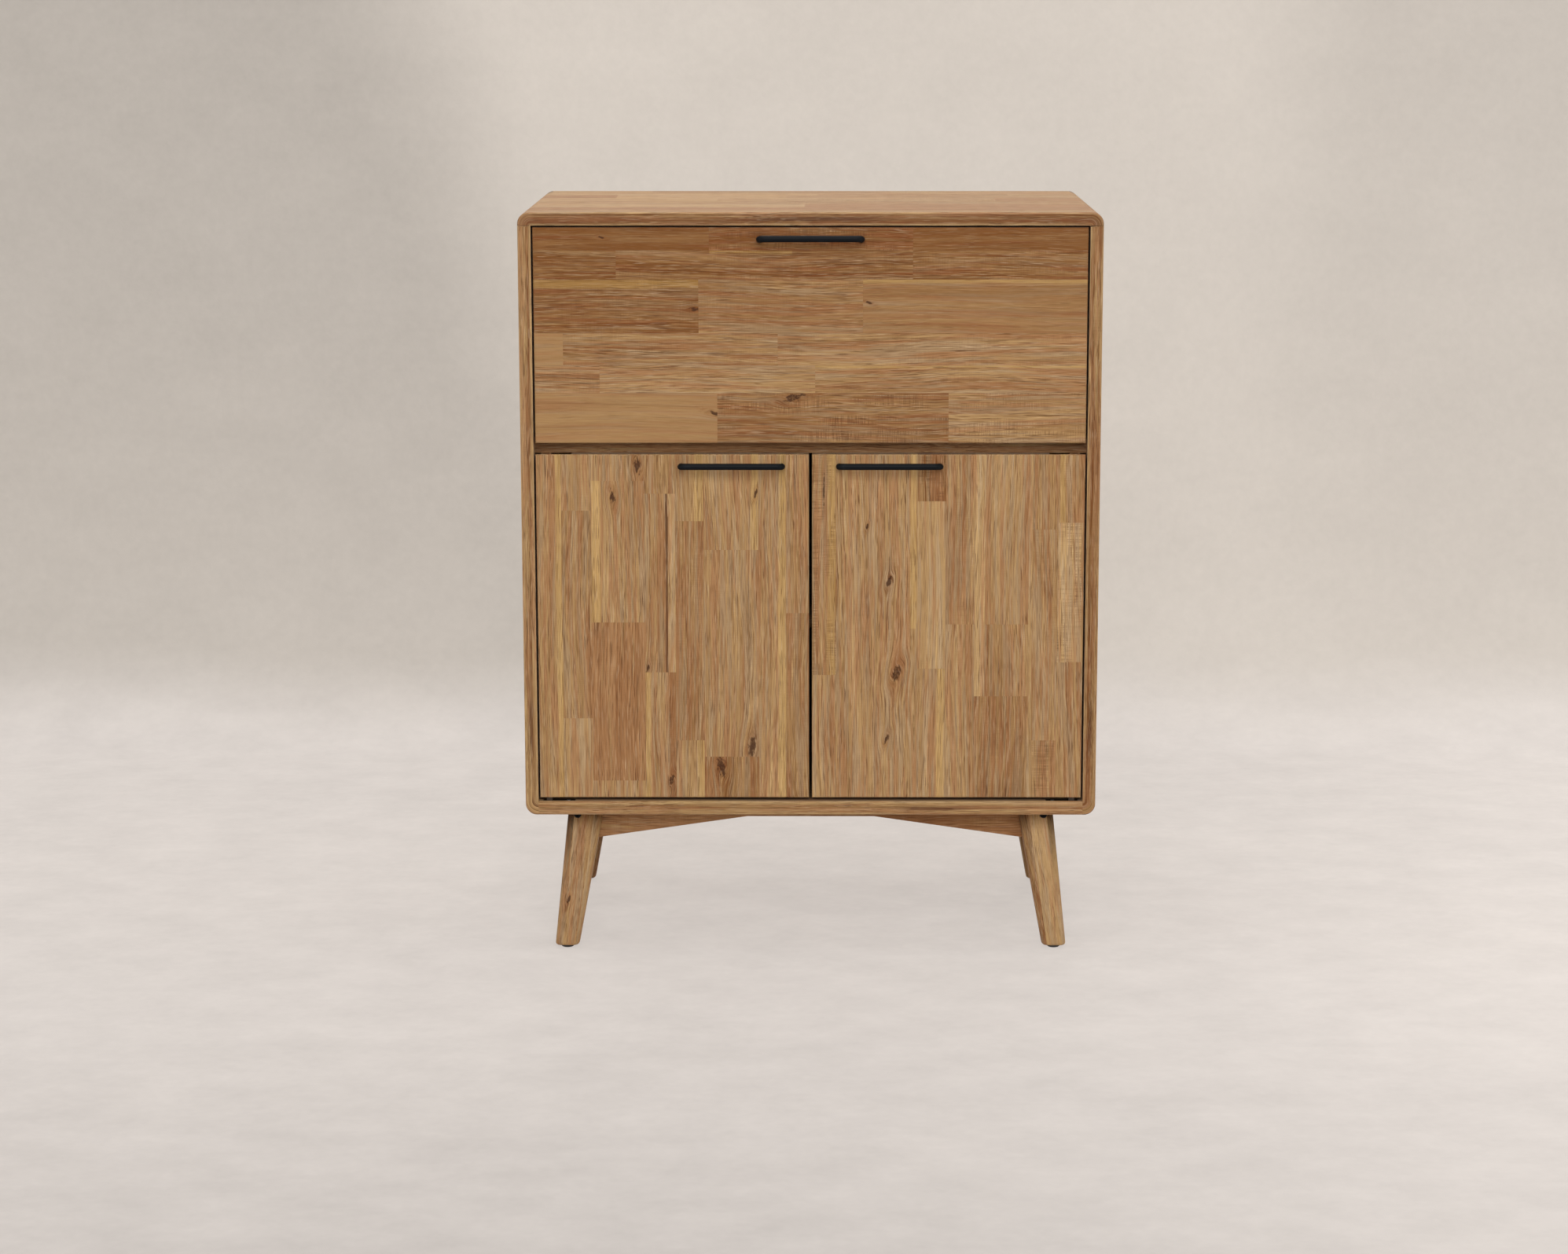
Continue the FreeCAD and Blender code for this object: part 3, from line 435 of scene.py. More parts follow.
def veneer(name):
    """Plain brown veneer of the back board, in tall leaves."""
    wood = bpy.context.scene.cabinet_acacia
    f = Finish(name)
    x, y, z = f.place()
    spot = (x - VENEER_START) / VENEER_WIDTH
    leaf = f.maths("FLOOR", spot)
    drift = f.noise(z / 520.0 + leaf * 7.0, x / 120.0, y / 40.0) - 0.5
    side = x + drift * 46.0 + leaf * 310.0
    band = f.noise(z / 900.0, side / 16.0, leaf * 3.0, 2.0) - 0.5
    fibre = f.noise(z / 60.0, side / 2.0, y / 2.0, 2.0, 0.6) - 0.5
    pore = f.ease(f.noise(z / 24.0, side / 1.3, y / 1.3), 0.63, 0.75)
    tint = f.mix(band * 1.0 + fibre * 0.8 + 0.46, wood.brown, wood.tan)
    tint = f.mix(pore * 0.4, tint, wood.pore)
    seam = f.ease(abs(f.maths("FRACT", spot) - 0.5), 0.496, 0.499)
    tint = f.scaled(tint, fibre * 0.4 + 0.96 - seam * 0.25)
    return f.dress(tint, 0.58 + fibre * 0.2, fibre - pore, 0.0002, 0.35)


def beech(name):
    """Pale beech of the loose tenons, with its short dark flecks."""
    f = Finish(name)
    x, y, z = f.place()
    fibre = f.noise(x / 30.0, y / 1.6, z / 1.6, 2.0) - 0.5
    fleck = f.ease(f.noise(x / 5.0, y / 0.9, z / 0.9), 0.62, 0.72)
    tint = f.mix(fibre + 0.5, (0.50, 0.33, 0.19), (0.64, 0.46, 0.28))
    tint = f.mix(fleck * 0.5, tint, (0.30, 0.16, 0.08))
    return f.dress(tint, 0.6 + fibre * 0.2, fibre - fleck, 0.0002, 0.3)


def powder_coat(name):
    """Matt black powder coat with a fine orange-peel skin."""
    tone = bpy.context.scene.cabinet_fittings.pull
    f = Finish(name)
    x, y, z = f.place()
    peel = f.noise(x / 0.9, y / 0.9, z / 0.9, 2.0) - 0.5
    cloud = f.noise(x / 14.0, y / 9.0, z / 9.0, 1.0) - 0.5
    rub = f.ease(cloud + peel * 0.3, 0.12, 0.30)
    tint = f.scaled(f.mix(rub * 0.5, tone, (0.009, 0.011, 0.014)), cloud * 0.5 + peel * 0.3 + 1.0)
    return f.dress(tint, 0.50 + cloud * 0.10 + peel * 0.10, peel, 0.00006, 0.35, specular_ior_level=0.10)


def moulded(name, tone):
    """Matt moulded plastic with a fine spark-eroded grain."""
    f = Finish(name)
    x, y, z = f.place()
    grain = f.noise(x / 0.45, y / 0.45, z / 0.45, 2.0) - 0.5
    cloud = f.noise(x / 11.0, y / 11.0, z / 11.0, 1.0) - 0.5
    tint = f.scaled(f.mix(cloud + 0.5, tone, tuple(part * 1.35 for part in tone)), grain * 0.3 + 1.0)
    return f.dress(tint, 0.55 + cloud * 0.12 + grain * 0.1, grain, 0.00005, 0.4)


def plated_steel(name, stroke):
    """Zinc-plated steel, brushed along one axis, with the faint clouds of the plating."""
    tone = bpy.context.scene.cabinet_fittings.steel
    f = Finish(name)
    place = f.place()
    scales = [0.35, 0.35, 0.35]
    scales[stroke] = 14.0
    brush = f.noise(*(part / scale for part, scale in zip(place, scales)), 2.0) - 0.5
    cloud = f.noise(*(part / 6.0 for part in place), 2.0) - 0.5
    spot = f.ease(f.noise(*(part / 2.2 for part in place), 1.0), 0.70, 0.80)
    tint = f.mix(f.ease(cloud, -0.05, 0.25) * 0.5, tone, tuple(part * 0.78 for part in tone))
    tint = f.scaled(tint, brush * 0.22 + cloud * 0.2 + 1.0 - spot * 0.2)
    return f.dress(tint, 0.34 + brush * 0.16 + cloud * 0.2 + spot * 0.15, brush, 0.00004, 0.3, metallic=1.0)


def bronzed_steel(name, tone):
    """Steel of the pivots in a dull bronze, worn brighter in clouds."""
    f = Finish(name)
    place = f.place()
    brush = f.noise(*(part / scale for part, scale in zip(place, (9.0, 0.4, 0.4))), 2.0) - 0.5
    cloud = f.noise(*(part / 7.0 for part in place), 2.0) - 0.5
    worn = f.ease(cloud + brush * 0.4, 0.10, 0.34)
    tint = f.mix(worn * 0.4, tone, tuple(part * 1.5 for part in tone))
    return f.dress(f.scaled(tint, brush * 0.4 + 1.0), 0.52 + cloud * 0.2, brush, 0.00004, 0.3, metallic=0.35)


def plaster(name):
    """Pale plaster of the stage, which shows its own tone, a painted shadow on the left of the wall, painted
    shade at the wall's upper right and at the front of the floor, painted light on the floor's right, and a part
    of the shadow that falls on it.
    """
    stage = bpy.context.scene.cabinet_stage
    f = Finish(name)
    x, y, z = f.place()
    cloud = f.noise(x / 700.0, y / 500.0, z / 500.0, 3.0) - 0.5
    crease = f.noise(x / 120.0, y / 85.0, z / 85.0, 4.0, 0.62) - 0.5
    speck = f.noise(x / 17.0, y / 17.0, z / 17.0, 3.0, 0.6) - 0.5
    raised = f.ease(z + cloud * 90.0, -10.0, 165.0)
    # painted shadow: the wall darker on its left, the more the higher
    left = f.ease(x + z * 0.33 + cloud * 120.0, -80.0, -480.0) * (z / 11000.0 + 0.15)
    # painted shade: the wall darker towards its upper right
    painted_shade_upper_right = f.ease(x, 740.0, 1060.0) * z / 11000.0
    wall = f.scaled(stage.wall, cloud * 0.10 + crease * 0.10 + speck * 0.10 + 1.0 - left - painted_shade_upper_right)
    # painted shade: the floor darker towards the front
    near = f.ease(y, -300.0, -1500.0)
    # painted light: the floor lighter towards the right
    right = f.ease(x - y * 0.3, 200.0, 1500.0)
    mottled = cloud * 0.12 + crease * 0.22 + speck * 0.08 + 1.0
    floor = f.scaled(stage.floor, mottled + right * 0.14 - near * 0.13)
    shade = f.mix(raised, floor, wall)
    glow = f.node("ShaderNodeEmission", {}, {"Color": shade, "Strength": 1.0})
    plain = Value(f, f.tree.nodes["Principled BSDF"].outputs[0])
    shown = f.node("ShaderNodeMixShader", {}, {0: f.seen() * 0.77, 1: plain, 2: glow})
    behind = f.node("ShaderNodeNewGeometry", {}, {}, "Backfacing")
    shown = f.node("ShaderNodeMixShader", {}, {0: behind, 1: shown, 2: f.node("ShaderNodeBsdfTransparent")})
    f.show(shown, "Material Output")
    return f.dress(shade, 0.85 + speck * 0.1, crease + speck * 0.3, 0.004, 0.25)


# ---------------------------------------------------------------- staves

# tone, redness and saw marks of the staves that the glued boards are made of
STAVE_KINDS = {
    "sap": (0.42, 0.0, 0.0),
    "pale": (0.30, 0.0, -0.4),
    "pale_sawn": (0.28, 0.0, 0.8),
    "smooth": (-0.17, 0.1, -1.0),
    "tan": (0.08, 0.3, 0.0),
    "tan_sawn": (0.02, 0.2, 0.7),
    "even": (-0.07, 0.4, 0.0),
    "brown": (-0.20, 0.5, 0.1),
    "brown_sawn": (-0.20, 0.4, 0.9),
    "dark": (-0.32, 0.6, 0.1),
    "red": (-0.12, 2.0, 0.0),
    # russet is toned light to lift the shade under the bottom panel: painted light on the rails' left halves
    "russet": (0.22, 2.0, 0.1),
    "red_dark": (-0.55, 2.0, 0.1),
    "sawn": (-0.40, 0.8, 1.0),
    "umber": (-0.80, -0.1, 0.2),
    "smooth_dark": (-0.36, 0.2, -0.7),
    "deep": (-1.04, -0.4, -0.6),
    "deep_sawn": (-0.95, 0.5, 1.0),
}

# Rows of the fold-out flap from top to bottom: height of its edges, then where each stave ends and its kind; the
# kinds are darkest at the top and grow lighter downwards
FLAP_ROWS = (
    (998.1, 1029.5, ((-138.7, "deep"), (140.0, "deep_sawn"), (379.5, "deep"))),
    (958.4, 998.1, ((-266.0, "umber"), (-138.0, "umber", 0.31), (-25.0, "umber", 0.31), (140.0, "umber", 0.31),
                    (379.5, "umber"))),
    (884.7, 958.4, ((-153.4, "umber"), (72.0, "dark"), (379.5, "smooth_dark"))),
    (840.2, 884.7, ((-339.5, "smooth"), (-45.0, "brown"), (379.5, "brown"))),
    (802.0, 840.2, ((-289.7, "brown"), (6.5, "even"), (379.5, "even"))),
    (732.5, 802.0, ((-128.2, "smooth"), (190.0, "sawn"), (379.5, "tan_sawn"))),
)
FLAP_SAP = ((-82.0, 996.4, 1.7), (-260.0, 952.0, 6.0), (220.0, 955.6, 2.8), (190.0, 838.4, 1.8))
FLAP_KNOTS = ((-158.6, 917.6, 2.3, 0.2), (80.0, 927.0, 1.5, 0.0), (334.0, 950.0, 1.2, 0.0),
              (-22.3, 796.3, 4.6, 1.0), (-131.4, 773.8, 2.4, 0.1), (-284.5, 1015.4, 1.3, 0.0))

# Columns of the left door from left to right, each stave's end counted upwards
LEFT_DOOR_ROWS = (
    (-379.5, -344.8, ((717.1, "tan"),)),
    (-344.8, -304.4, ((344.1, "pale"), (638.3, "even"), (717.1, "tan"))),
    (-304.4, -230.5, ((254.8, "tan"), (480.7, "red"), (680.0, "tan", 0.62), (717.1, "tan", 0.62))),
    (-230.5, -198.0, ((409.8, "tan"), (662.0, "even"), (717.1, "even", 0.17))),
    (-198.0, -187.5, ((409.8, "brown"), (662.0, "sap"), (717.1, "even", 0.17))),
    (-187.5, -148.1, ((312.6, "tan"), (623.6, "brown"), (717.1, "even"))),
    (-148.1, -72.1, ((289.0, "dark"), (583.2, "tan"), (717.1, "tan"))),
    (-72.1, -33.8, ((717.1, "tan"),)),
    (-33.8, -2.0, ((493.9, "brown"), (717.1, "tan"))),
)
LEFT_DOOR_SAP = ((600.0, -348.6, 3.8), (600.0, -297.8, 6.5), (320.0, -226.8, 3.6), (670.0, -154.6, 6.4),
                 (270.0, -153.4, 5.2), (650.0, -77.4, 5.2), (600.0, -39.4, 5.4))
LEFT_DOOR_VEINS = ((536.0, -199.6, 1.5),)
LEFT_DOOR_KNOTS = ((657.8, -274.0, 3.2, 1.0), (702.0, -238.3, 3.8, 0.3), (662.0, -76.0, 1.9, 0.0),
                   (415.0, -226.8, 1.8, 0.0), (304.7, -81.6, 4.6, 0.5), (275.8, -124.6, 4.8, 0.4),
                   (255.9, -194.3, 3.0, 0.8))

RIGHT_DOOR_ROWS = (
    (2.0, 35.4, ((406.1, "tan"), (717.1, "brown_sawn"))),
    (35.4, 148.1, ((360.0, "tan", 0.83), (472.0, "tan", 0.83), (577.0, "tan", 0.83), (717.1, "tan", 0.83))),
    (148.1, 187.4, ((415.1, "tan"), (651.5, "pale"), (717.1, "sawn"))),
    (187.4, 227.8, ((478.1, "tan"), (717.1, "brown"))),
    (227.8, 242.5, ((375.7, "dark", 0.47), (717.1, "sap"))),
    (242.5, 302.8, ((375.7, "dark", 0.47), (478.0, "even"), (717.1, "tan"))),
    (302.8, 308.0, ((717.1, "sap"),)),
    (308.0, 343.2, ((312.6, "tan_sawn"), (612.0, "brown"), (717.1, "even"))),
    (343.2, 379.5, ((424.5, "even"), (621.5, "pale_sawn"), (717.1, "brown"))),
)
RIGHT_DOOR_SAP = ((560.0, 29.4, 5.6), (650.0, 143.0, 4.4), (525.0, 143.0, 4.4), (320.0, 181.6, 5.4),
                  (670.0, 348.8, 4.2))
RIGHT_DOOR_KNOTS = ((537.5, 108.8, 2.6, 0.0), (408.2, 119.3, 4.4, 0.9), (315.2, 106.2, 2.4, 0.2),
                    (617.0, 78.9, 1.6, 0.0), (668.0, 18.5, 0.9, 2.0))

# Staves of the legs: kind of the inner one, where the outer one starts, and its kind
LEG_STAVES = {
    "leg_front_left": ("pale", 335.5, "even"),
    "leg_front_right": ("brown", 337.5, "pale"),
    "leg_back_left": ("even", 352.0, "tan"),
    "leg_back_right": ("tan", 343.0, "brown"),
}
LEG_KNOTS = {"leg_front_left": ((72.0, 354.6, 1.8, 0.2),)}

ORDER = Vector((1.0, 0.6181, 0.3247))  # the direction in which the parts of a mesh are counted
FAR_AWAY = 1e5
NO_KNOT = (FAR_AWAY, FAR_AWAY, 1.0, 0.0)
NO_STREAK = (FAR_AWAY, 0.0)

# Kinds and sizes of the staves of the boards that the front hardly shows
STAVE_WIDTHS, STAVE_LENGTHS, FIRST_JOINTS = (34.0, 74.0), (230.0, 460.0), (60.0, 420.0)
NARROWEST, SHORTEST = 30.0, 90.0
MIXED_KINDS = ("tan", "tan", "even", "even", "even", "brown", "pale", "tan_sawn", "dark", "red")
# the top's kinds run paler than the others: a painted sheen on its upper face
TOP_KINDS = ("pale", "tan", "sap", "tan_sawn", "pale", "even", "red")


def laid_rows(seed, low, high, start, end, first=None, kinds=MIXED_KINDS):
    """Rows of staves for a board that the front hardly shows, the same at each run."""
    chance = random.Random(seed)
    rows = []
    edge = low
    if first is not None:
        edge = low + first[0]
        rows.append((low, edge, ((end, first[1]),)))
    while edge < high - 1e-6:
        top = edge + chance.uniform(*STAVE_WIDTHS)
        top = high if high - top < NARROWEST else top
        staves = []
        spot = start + chance.uniform(*FIRST_JOINTS)
        while spot < end - SHORTEST:
            staves.append((spot, chance.choice(kinds)))
            spot += chance.uniform(*STAVE_LENGTHS)
        rows.append((edge, top, (*staves, (end, chance.choice(kinds)))))
        edge = top
    return tuple(rows)


def shape_of(node):
    """A working copy of a solid's mesh, with its flat faces whole again."""
    shape = bmesh.new()
    shape.from_mesh(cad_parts[node].data)
    bmesh.ops.remove_doubles(shape, verts=shape.verts, dist=1e-6)
    bmesh.ops.dissolve_limit(shape, angle_limit=0.004, verts=shape.verts, edges=shape.edges)
    return shape


def ease_arrises(shape, width, longest=0.09):
    """Take the sharpness off the long outer edges."""
    sharp = [edge for edge in shape.edges
             if edge.is_convex and edge.calc_face_angle(0.0) > 0.5 and edge.calc_length() > longest]
    bmesh.ops.bevel(shape, geom=sharp, offset=width, segments=2, profile=0.6, affect="EDGES",
                    clamp_overlap=True)


def cut_at(shape, faces, spot, normal):
    """Cut these faces at a plane, and put edges and faces in an order that is the same at each run."""
    edges = dict.fromkeys(edge for face in faces for edge in face.edges)
    corners = dict.fromkeys(corner for face in faces for corner in face.verts)
    bmesh.ops.bisect_plane(shape, geom=[*corners, *edges, *faces], dist=1e-7, plane_co=spot, plane_no=normal)
    shape.edges.sort(key=lambda edge: (edge.verts[0].co + edge.verts[1].co).dot(ORDER))
    shape.faces.sort(key=lambda face: face.calc_center_median().dot(ORDER))


def cut_across(shape, faces, axis, spot):
    """Cut these faces at one coordinate, in millimetres."""
    normal = Vector([float(i == axis) for i in range(3)])
    cut_at(shape, faces, normal * spot * MM, normal)


def faces_between(shape, axis, low, high):
    """Faces whose middle lies between two coordinates."""
    return [face for face in shape.faces if low < face.calc_center_median()[axis] / MM < high]


def cut_staves(shape, along, across, rows):
    """Cut a board along its glue lines, so that each face belongs to one stave."""
    for low, high, staves in rows[1:]:
        cut_across(shape, shape.faces[:], across, low)
    for low, high, staves in rows:
        for spot, *_ in staves[:-1]:
            cut_across(shape, faces_between(shape, across, low, high), along, spot)


def mark_staves(shape, along, across, rows, sap=(), veins=(), knots=(), seed=1, where=None):
    """Write on each face which stave it belongs to, and what that stave looks like."""
    layers = {name: shape.faces.layers.float_color.new(name) for name in ("stave", "edges", "knot", "streak")}
    chance = random.Random(seed)
    marks = []
    for low, high, staves in rows:
        start = -1e4
        for spot, kind, *given in staves:
            fresh = chance.random()
            tone, redness, sawn = STAVE_KINDS[kind]
            tone += chance.uniform(-0.06, 0.06)
            marks.append({"box": (low, high, start, spot),
                          "stave": (given[0] if given else fresh, tone, redness, sawn)})
            start = spot

    def inside(mark, a, c):
        low, high, start, end = mark["box"]
        return low <= c <= high and start <= a <= end

    for mark in marks:
        mark["knot"] = next((knot for knot in knots if inside(mark, *knot[:2])), NO_KNOT)
        strip = next((strip[1:] for strip in sap if inside(mark, *strip[:2])), NO_STREAK)
        vein = next((vein[1:] for vein in veins if inside(mark, *vein[:2])), NO_STREAK)
        mark["streak"] = (*strip, *vein)
    for mark in marks:
        whole = [other["box"] for other in marks if other["stave"][0] == mark["stave"][0]]
        mark["edges"] = tuple(pick(box[i] for box in whole) for i, pick in enumerate((min, max, min, max)))
    bottom, top, finish = rows[0][0], rows[-1][1], max(mark["box"][3] for mark in marks)
    for face in shape.faces:
        middle = face.calc_center_median() / MM
        c = min(max(where(middle) if where else middle[across], bottom + 1e-3), top - 1e-3)
        a = min(middle[along], finish)
        mark = next(mark for mark in marks if inside(mark, a, c))
        for name, layer in layers.items():
            face[layer] = mark[name]


def circle(radius, sides):
    """Points round a circle."""
    turns = [2 * math.pi * i / sides for i in range(sides)]
    return [(radius * math.cos(turn), radius * math.sin(turn)) for turn in turns]


def skin(shape, rings):
    """Faces between each ring of corners and the next."""
    for near, far in zip(rings, rings[1:]):
        for i in range(len(near)):
            j = (i + 1) % len(near)
            shape.faces.new((near[i], near[j], far[j], far[i]))


def finished(name, shape, material, body, slot, *nodes):
    """Turn a worked shape into a piece that rides on its body and stands for its solids."""
    if any(not edge.is_manifold for edge in shape.edges):
        raise RuntimeError(f"{name} has an open or doubled edge")
    mesh = bpy.data.meshes.new(name)
    for face in shape.faces:
        face.smooth = True
    shape.to_mesh(mesh)
    shape.free()
    mesh.materials.append(material)
    piece = bpy.data.objects.new(name, mesh)
    bpy.context.scene.collection.objects.link(piece)
    weighted = piece.modifiers.new("flat faces stay flat", "WEIGHTED_NORMAL")
    weighted.weight = 100
    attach(piece, body)
    if nodes:
        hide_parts(*nodes)
    return piece


def staved_board(node, body, material, along, across, rows, **marks):
    """Replace a plain board with the same board glued up from staves."""
    shape = shape_of(node)
    ease_arrises(shape, bpy.context.scene.cabinet_acacia.arris)
    cut_staves(shape, along, across, rows)
    mark_staves(shape, along, across, rows, **marks)
    return finished(node + "_staves", shape, material, body, "acacia", node)


def refinish(material, *nodes):
    """Give CAD nodes that keep their shape a better material."""
    for node in nodes:
        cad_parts[node].material_slots[0].material = material


# ---------------------------------------------------------------- small fasteners

def screw_head(shape, spot, axis, radius, recess="cross", proud=0.16):
    """A domed screw head with a driver recess, sunk a little into what it holds."""
    turn = Vector(axis).to_track_quat("Z", "Y").to_matrix().to_4x4()
    place = Matrix.Translation(Vector(spot) * MM) @ turn @ Matrix.Scale(radius, 4)

    def ring(points, height):
        return [shape.verts.new(place @ Vector((u, v, height))) for u, v in points]

    def rim(loop):
        pairs = zip(loop, loop[1:] + loop[:1])
        return [shape.edges.get(pair) or shape.edges.new(pair) for pair in pairs]

    if recess == "cross":
        w, r = 0.15, 0.52
        outline = [(r, -w), (r, w), (w, w), (w, r), (-w, r), (-w, w),
                   (-r, w), (-r, -w), (-w, -w), (-w, -r), (w, -r), (w, -w)]
    else:
        outline = circle(0.48, 6)
    dome = ((0.90, -0.30), (1.0, 0.0), (0.97, proud * 0.55), (0.86, proud * 0.9), (0.70, proud))
    rings = [ring(circle(size, 20), height) for size, height in dome]
    shape.faces.new(list(reversed(rings[0])))
    skin(shape, rings)
    lip = ring(outline, proud)
    pit = ring([(u * 0.86, v * 0.86) for u, v in outline], proud - 0.34)
    bmesh.ops.triangle_fill(shape, edges=rim(rings[-1]) + rim(lip), use_beauty=True, use_dissolve=False)
    skin(shape, (pit, lip))
    shape.faces.new(pit)


def screws(name, body, slot, material, spots, **form):
    """One piece that holds all the like screw heads of a body."""
    shape = bmesh.new()
    for spot, axis, radius in spots:
        screw_head(shape, spot, axis, radius, **form)
    bmesh.ops.recalc_face_normals(shape, faces=shape.faces)
    return finished(name, shape, material, body, slot)


# ---------------------------------------------------------------- operators

class CABINET_OT_fronts(bpy.types.Operator):
    """Glue up the fold-out flap and the two doors from acacia staves"""
    bl_idname = "cabinet.fronts"
    bl_label = "Flap and doors"

    def execute(self, context):
        across_grain = acacia("acacia_flap", board_grain(X, Z, Y, FRONT), X)
        upright = acacia("acacia_doors", board_grain(Z, X, Y, FRONT), Z)
        staved_board("fold_out_flap", "flap", across_grain, X, Z, tuple(reversed(FLAP_ROWS)),
                     sap=FLAP_SAP, knots=FLAP_KNOTS, seed=11)
        staved_board("door_left", "door_left", upright, Z, X, LEFT_DOOR_ROWS,
                     sap=LEFT_DOOR_SAP, veins=LEFT_DOOR_VEINS, knots=LEFT_DOOR_KNOTS, seed=12)
        staved_board("door_right", "door_right", upright, Z, X, RIGHT_DOOR_ROWS,
                     sap=RIGHT_DOOR_SAP, knots=RIGHT_DOOR_KNOTS, seed=13)
        return {"FINISHED"}


class CABINET_OT_case(bpy.types.Operator):
    """Glue up the boards of the case, and finish its back, shelf and tenons"""
    bl_idname = "cabinet.case"
    bl_label = "Case"

    def execute(self, context):
        # the top's front edge is toned darker than its upper face: painted shade
        top = acacia("acacia_top", corner_grain(X, Y, INSIDE, TOP_BASE), X,
                     edge=(-0.26, 5.0, 130.0), gloss=0.28)
        side = acacia("acacia_sides", corner_grain(Z, Y, INSIDE, FLOOR), Z, edge=(0.08, 330.0, 60.0))
        bottom = acacia("acacia_bottom", board_grain(X, Y, Z, BASE), X, edge=(0.14, 170.0, 60.0))
        flat = acacia("acacia_levels", board_grain(X, Y, Z, FLAP_FLOOR), X)
        cleat = acacia("acacia_cleats", board_grain(Y, Z, X, 368.0), Y)
        staved_board("top_panel", "case", top, X, Y,
                     laid_rows(5, FRONT, BACK, -400.0, 400.0, (38.0, "tan"), TOP_KINDS), seed=21)
        for number, (hand, kind) in enumerate((("left", "tan"), ("right", "brown"))):
            staved_board(f"side_panel_{hand}", "case", side, Z, Y,
                         laid_rows(31 + number, FRONT, BACK, BASE, TOP_BASE, (42.0, kind)), seed=22 + number)
        levels = (("bottom_panel", bottom, FRONT, BACK, INSIDE, (40.0, "even")),
                  ("divider_panel", flat, -187.0, 233.0, INSIDE, (36.0, "red")),
                  ("inner_shelf", flat, -153.0, 232.0, 381.0, (40.0, "even")))
        for number, (node, material, front, back, half, first) in enumerate(levels):
            staved_board(node, "case", material, X, Y,
                         laid_rows(41 + number, front, back, -half, half, first), seed=24 + number)
        staved_board("shelf_cleats", "case", cleat, Y, Z, ((441.0, 461.0, ((233.0, "even"),)),), seed=27)
        refinish(veneer("back_veneer"), "back_panel")
        refinish(beech("tenon_beech"), "case_tenons")
        return {"FINISHED"}


class CABINET_OT_stand(bpy.types.Operator):
    """Shape the splayed legs and their rails, and set the round pads under the feet"""
    bl_idname = "cabinet.stand"
    bl_label = "Legs, rails and pads"

    def execute(self, context):
        turned = acacia("acacia_legs", leg_grain, Z)
        rail = acacia("acacia_rails", board_grain(X, Z, Y, 0.0), X)
        cross_rail = acacia("acacia_side_rails", board_grain(Y, Z, X, 0.0), Y)
        for number, (leg, (inner, joint, outer)) in enumerate(LEG_STAVES.items()):
            shape = shape_of(leg)
            sole = min(corner.co.z for corner in shape.verts)
            rim = [edge for edge in shape.edges if all(abs(corner.co.z - sole) < 1e-5 for corner in edge.verts)]
            bmesh.ops.bevel(shape, geom=rim, offset=0.0034, segments=3, profile=0.5, affect="EDGES")
            hand = 1.0 if leg.endswith("right") else -1.0
            cut_at(shape, shape.faces[:], (hand * joint * MM, 0.0, 0.0), (hand, 0.0, LEG_SPLAY))
            mark_staves(shape, Z, X, ((200.0, joint, ((205.1, inner),)), (joint, 500.0, ((205.1, outer),))),
                        knots=LEG_KNOTS.get(leg, ()), seed=31 + number,
                        where=lambda spot: abs(spot.x) + spot.z * LEG_SPLAY)
            finished(leg + "_shaped", shape, turned, "case", "acacia", leg)
        for number, node in enumerate(("front_rail", "back_rail")):
            # the left half of each rail takes the light russet: painted light against the shade under the case
            staved_board(node, "case", rail, X, Z,
                         ((159.0, BASE, ((0.0, "russet"), (302.0, "red_dark"))),), seed=41 + number)
        for number, node in enumerate(("side_rail_left", "side_rail_right")):
            staved_board(node, "case", cross_rail, Y, Z,
                         ((163.0, BASE, ((156.0, "brown"),)),), seed=43 + number)
        self.pads(context)
        return {"FINISHED"}

    def pads(self, context):
        """Four round moulded pads with a soft lower rim."""
        fittings = context.scene.cabinet_fittings
        radius = fittings.pad_radius
        low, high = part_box("foot_pads")
        shape = bmesh.new()
        profile = ((0.80, 0.0), (0.93, 0.0004), (1.0, 0.0013), (1.0, 0.0038), (0.96, 0.005))
        half = 0.0085
        for x in (low.x + half, high.x - half):
            for y in (low.y + half, high.y - half):
                rings = [[shape.verts.new((x + u, y + v, level)) for u, v in circle(radius * size, 32)]
                         for size, level in profile]
                shape.faces.new(list(reversed(rings[0])))
                shape.faces.new(rings[-1])
                skin(shape, rings)
        plastic = moulded("pad_plastic", fittings.pad)
        finished("foot_pads_round", shape, plastic, "case", "black_plastic", "foot_pads")


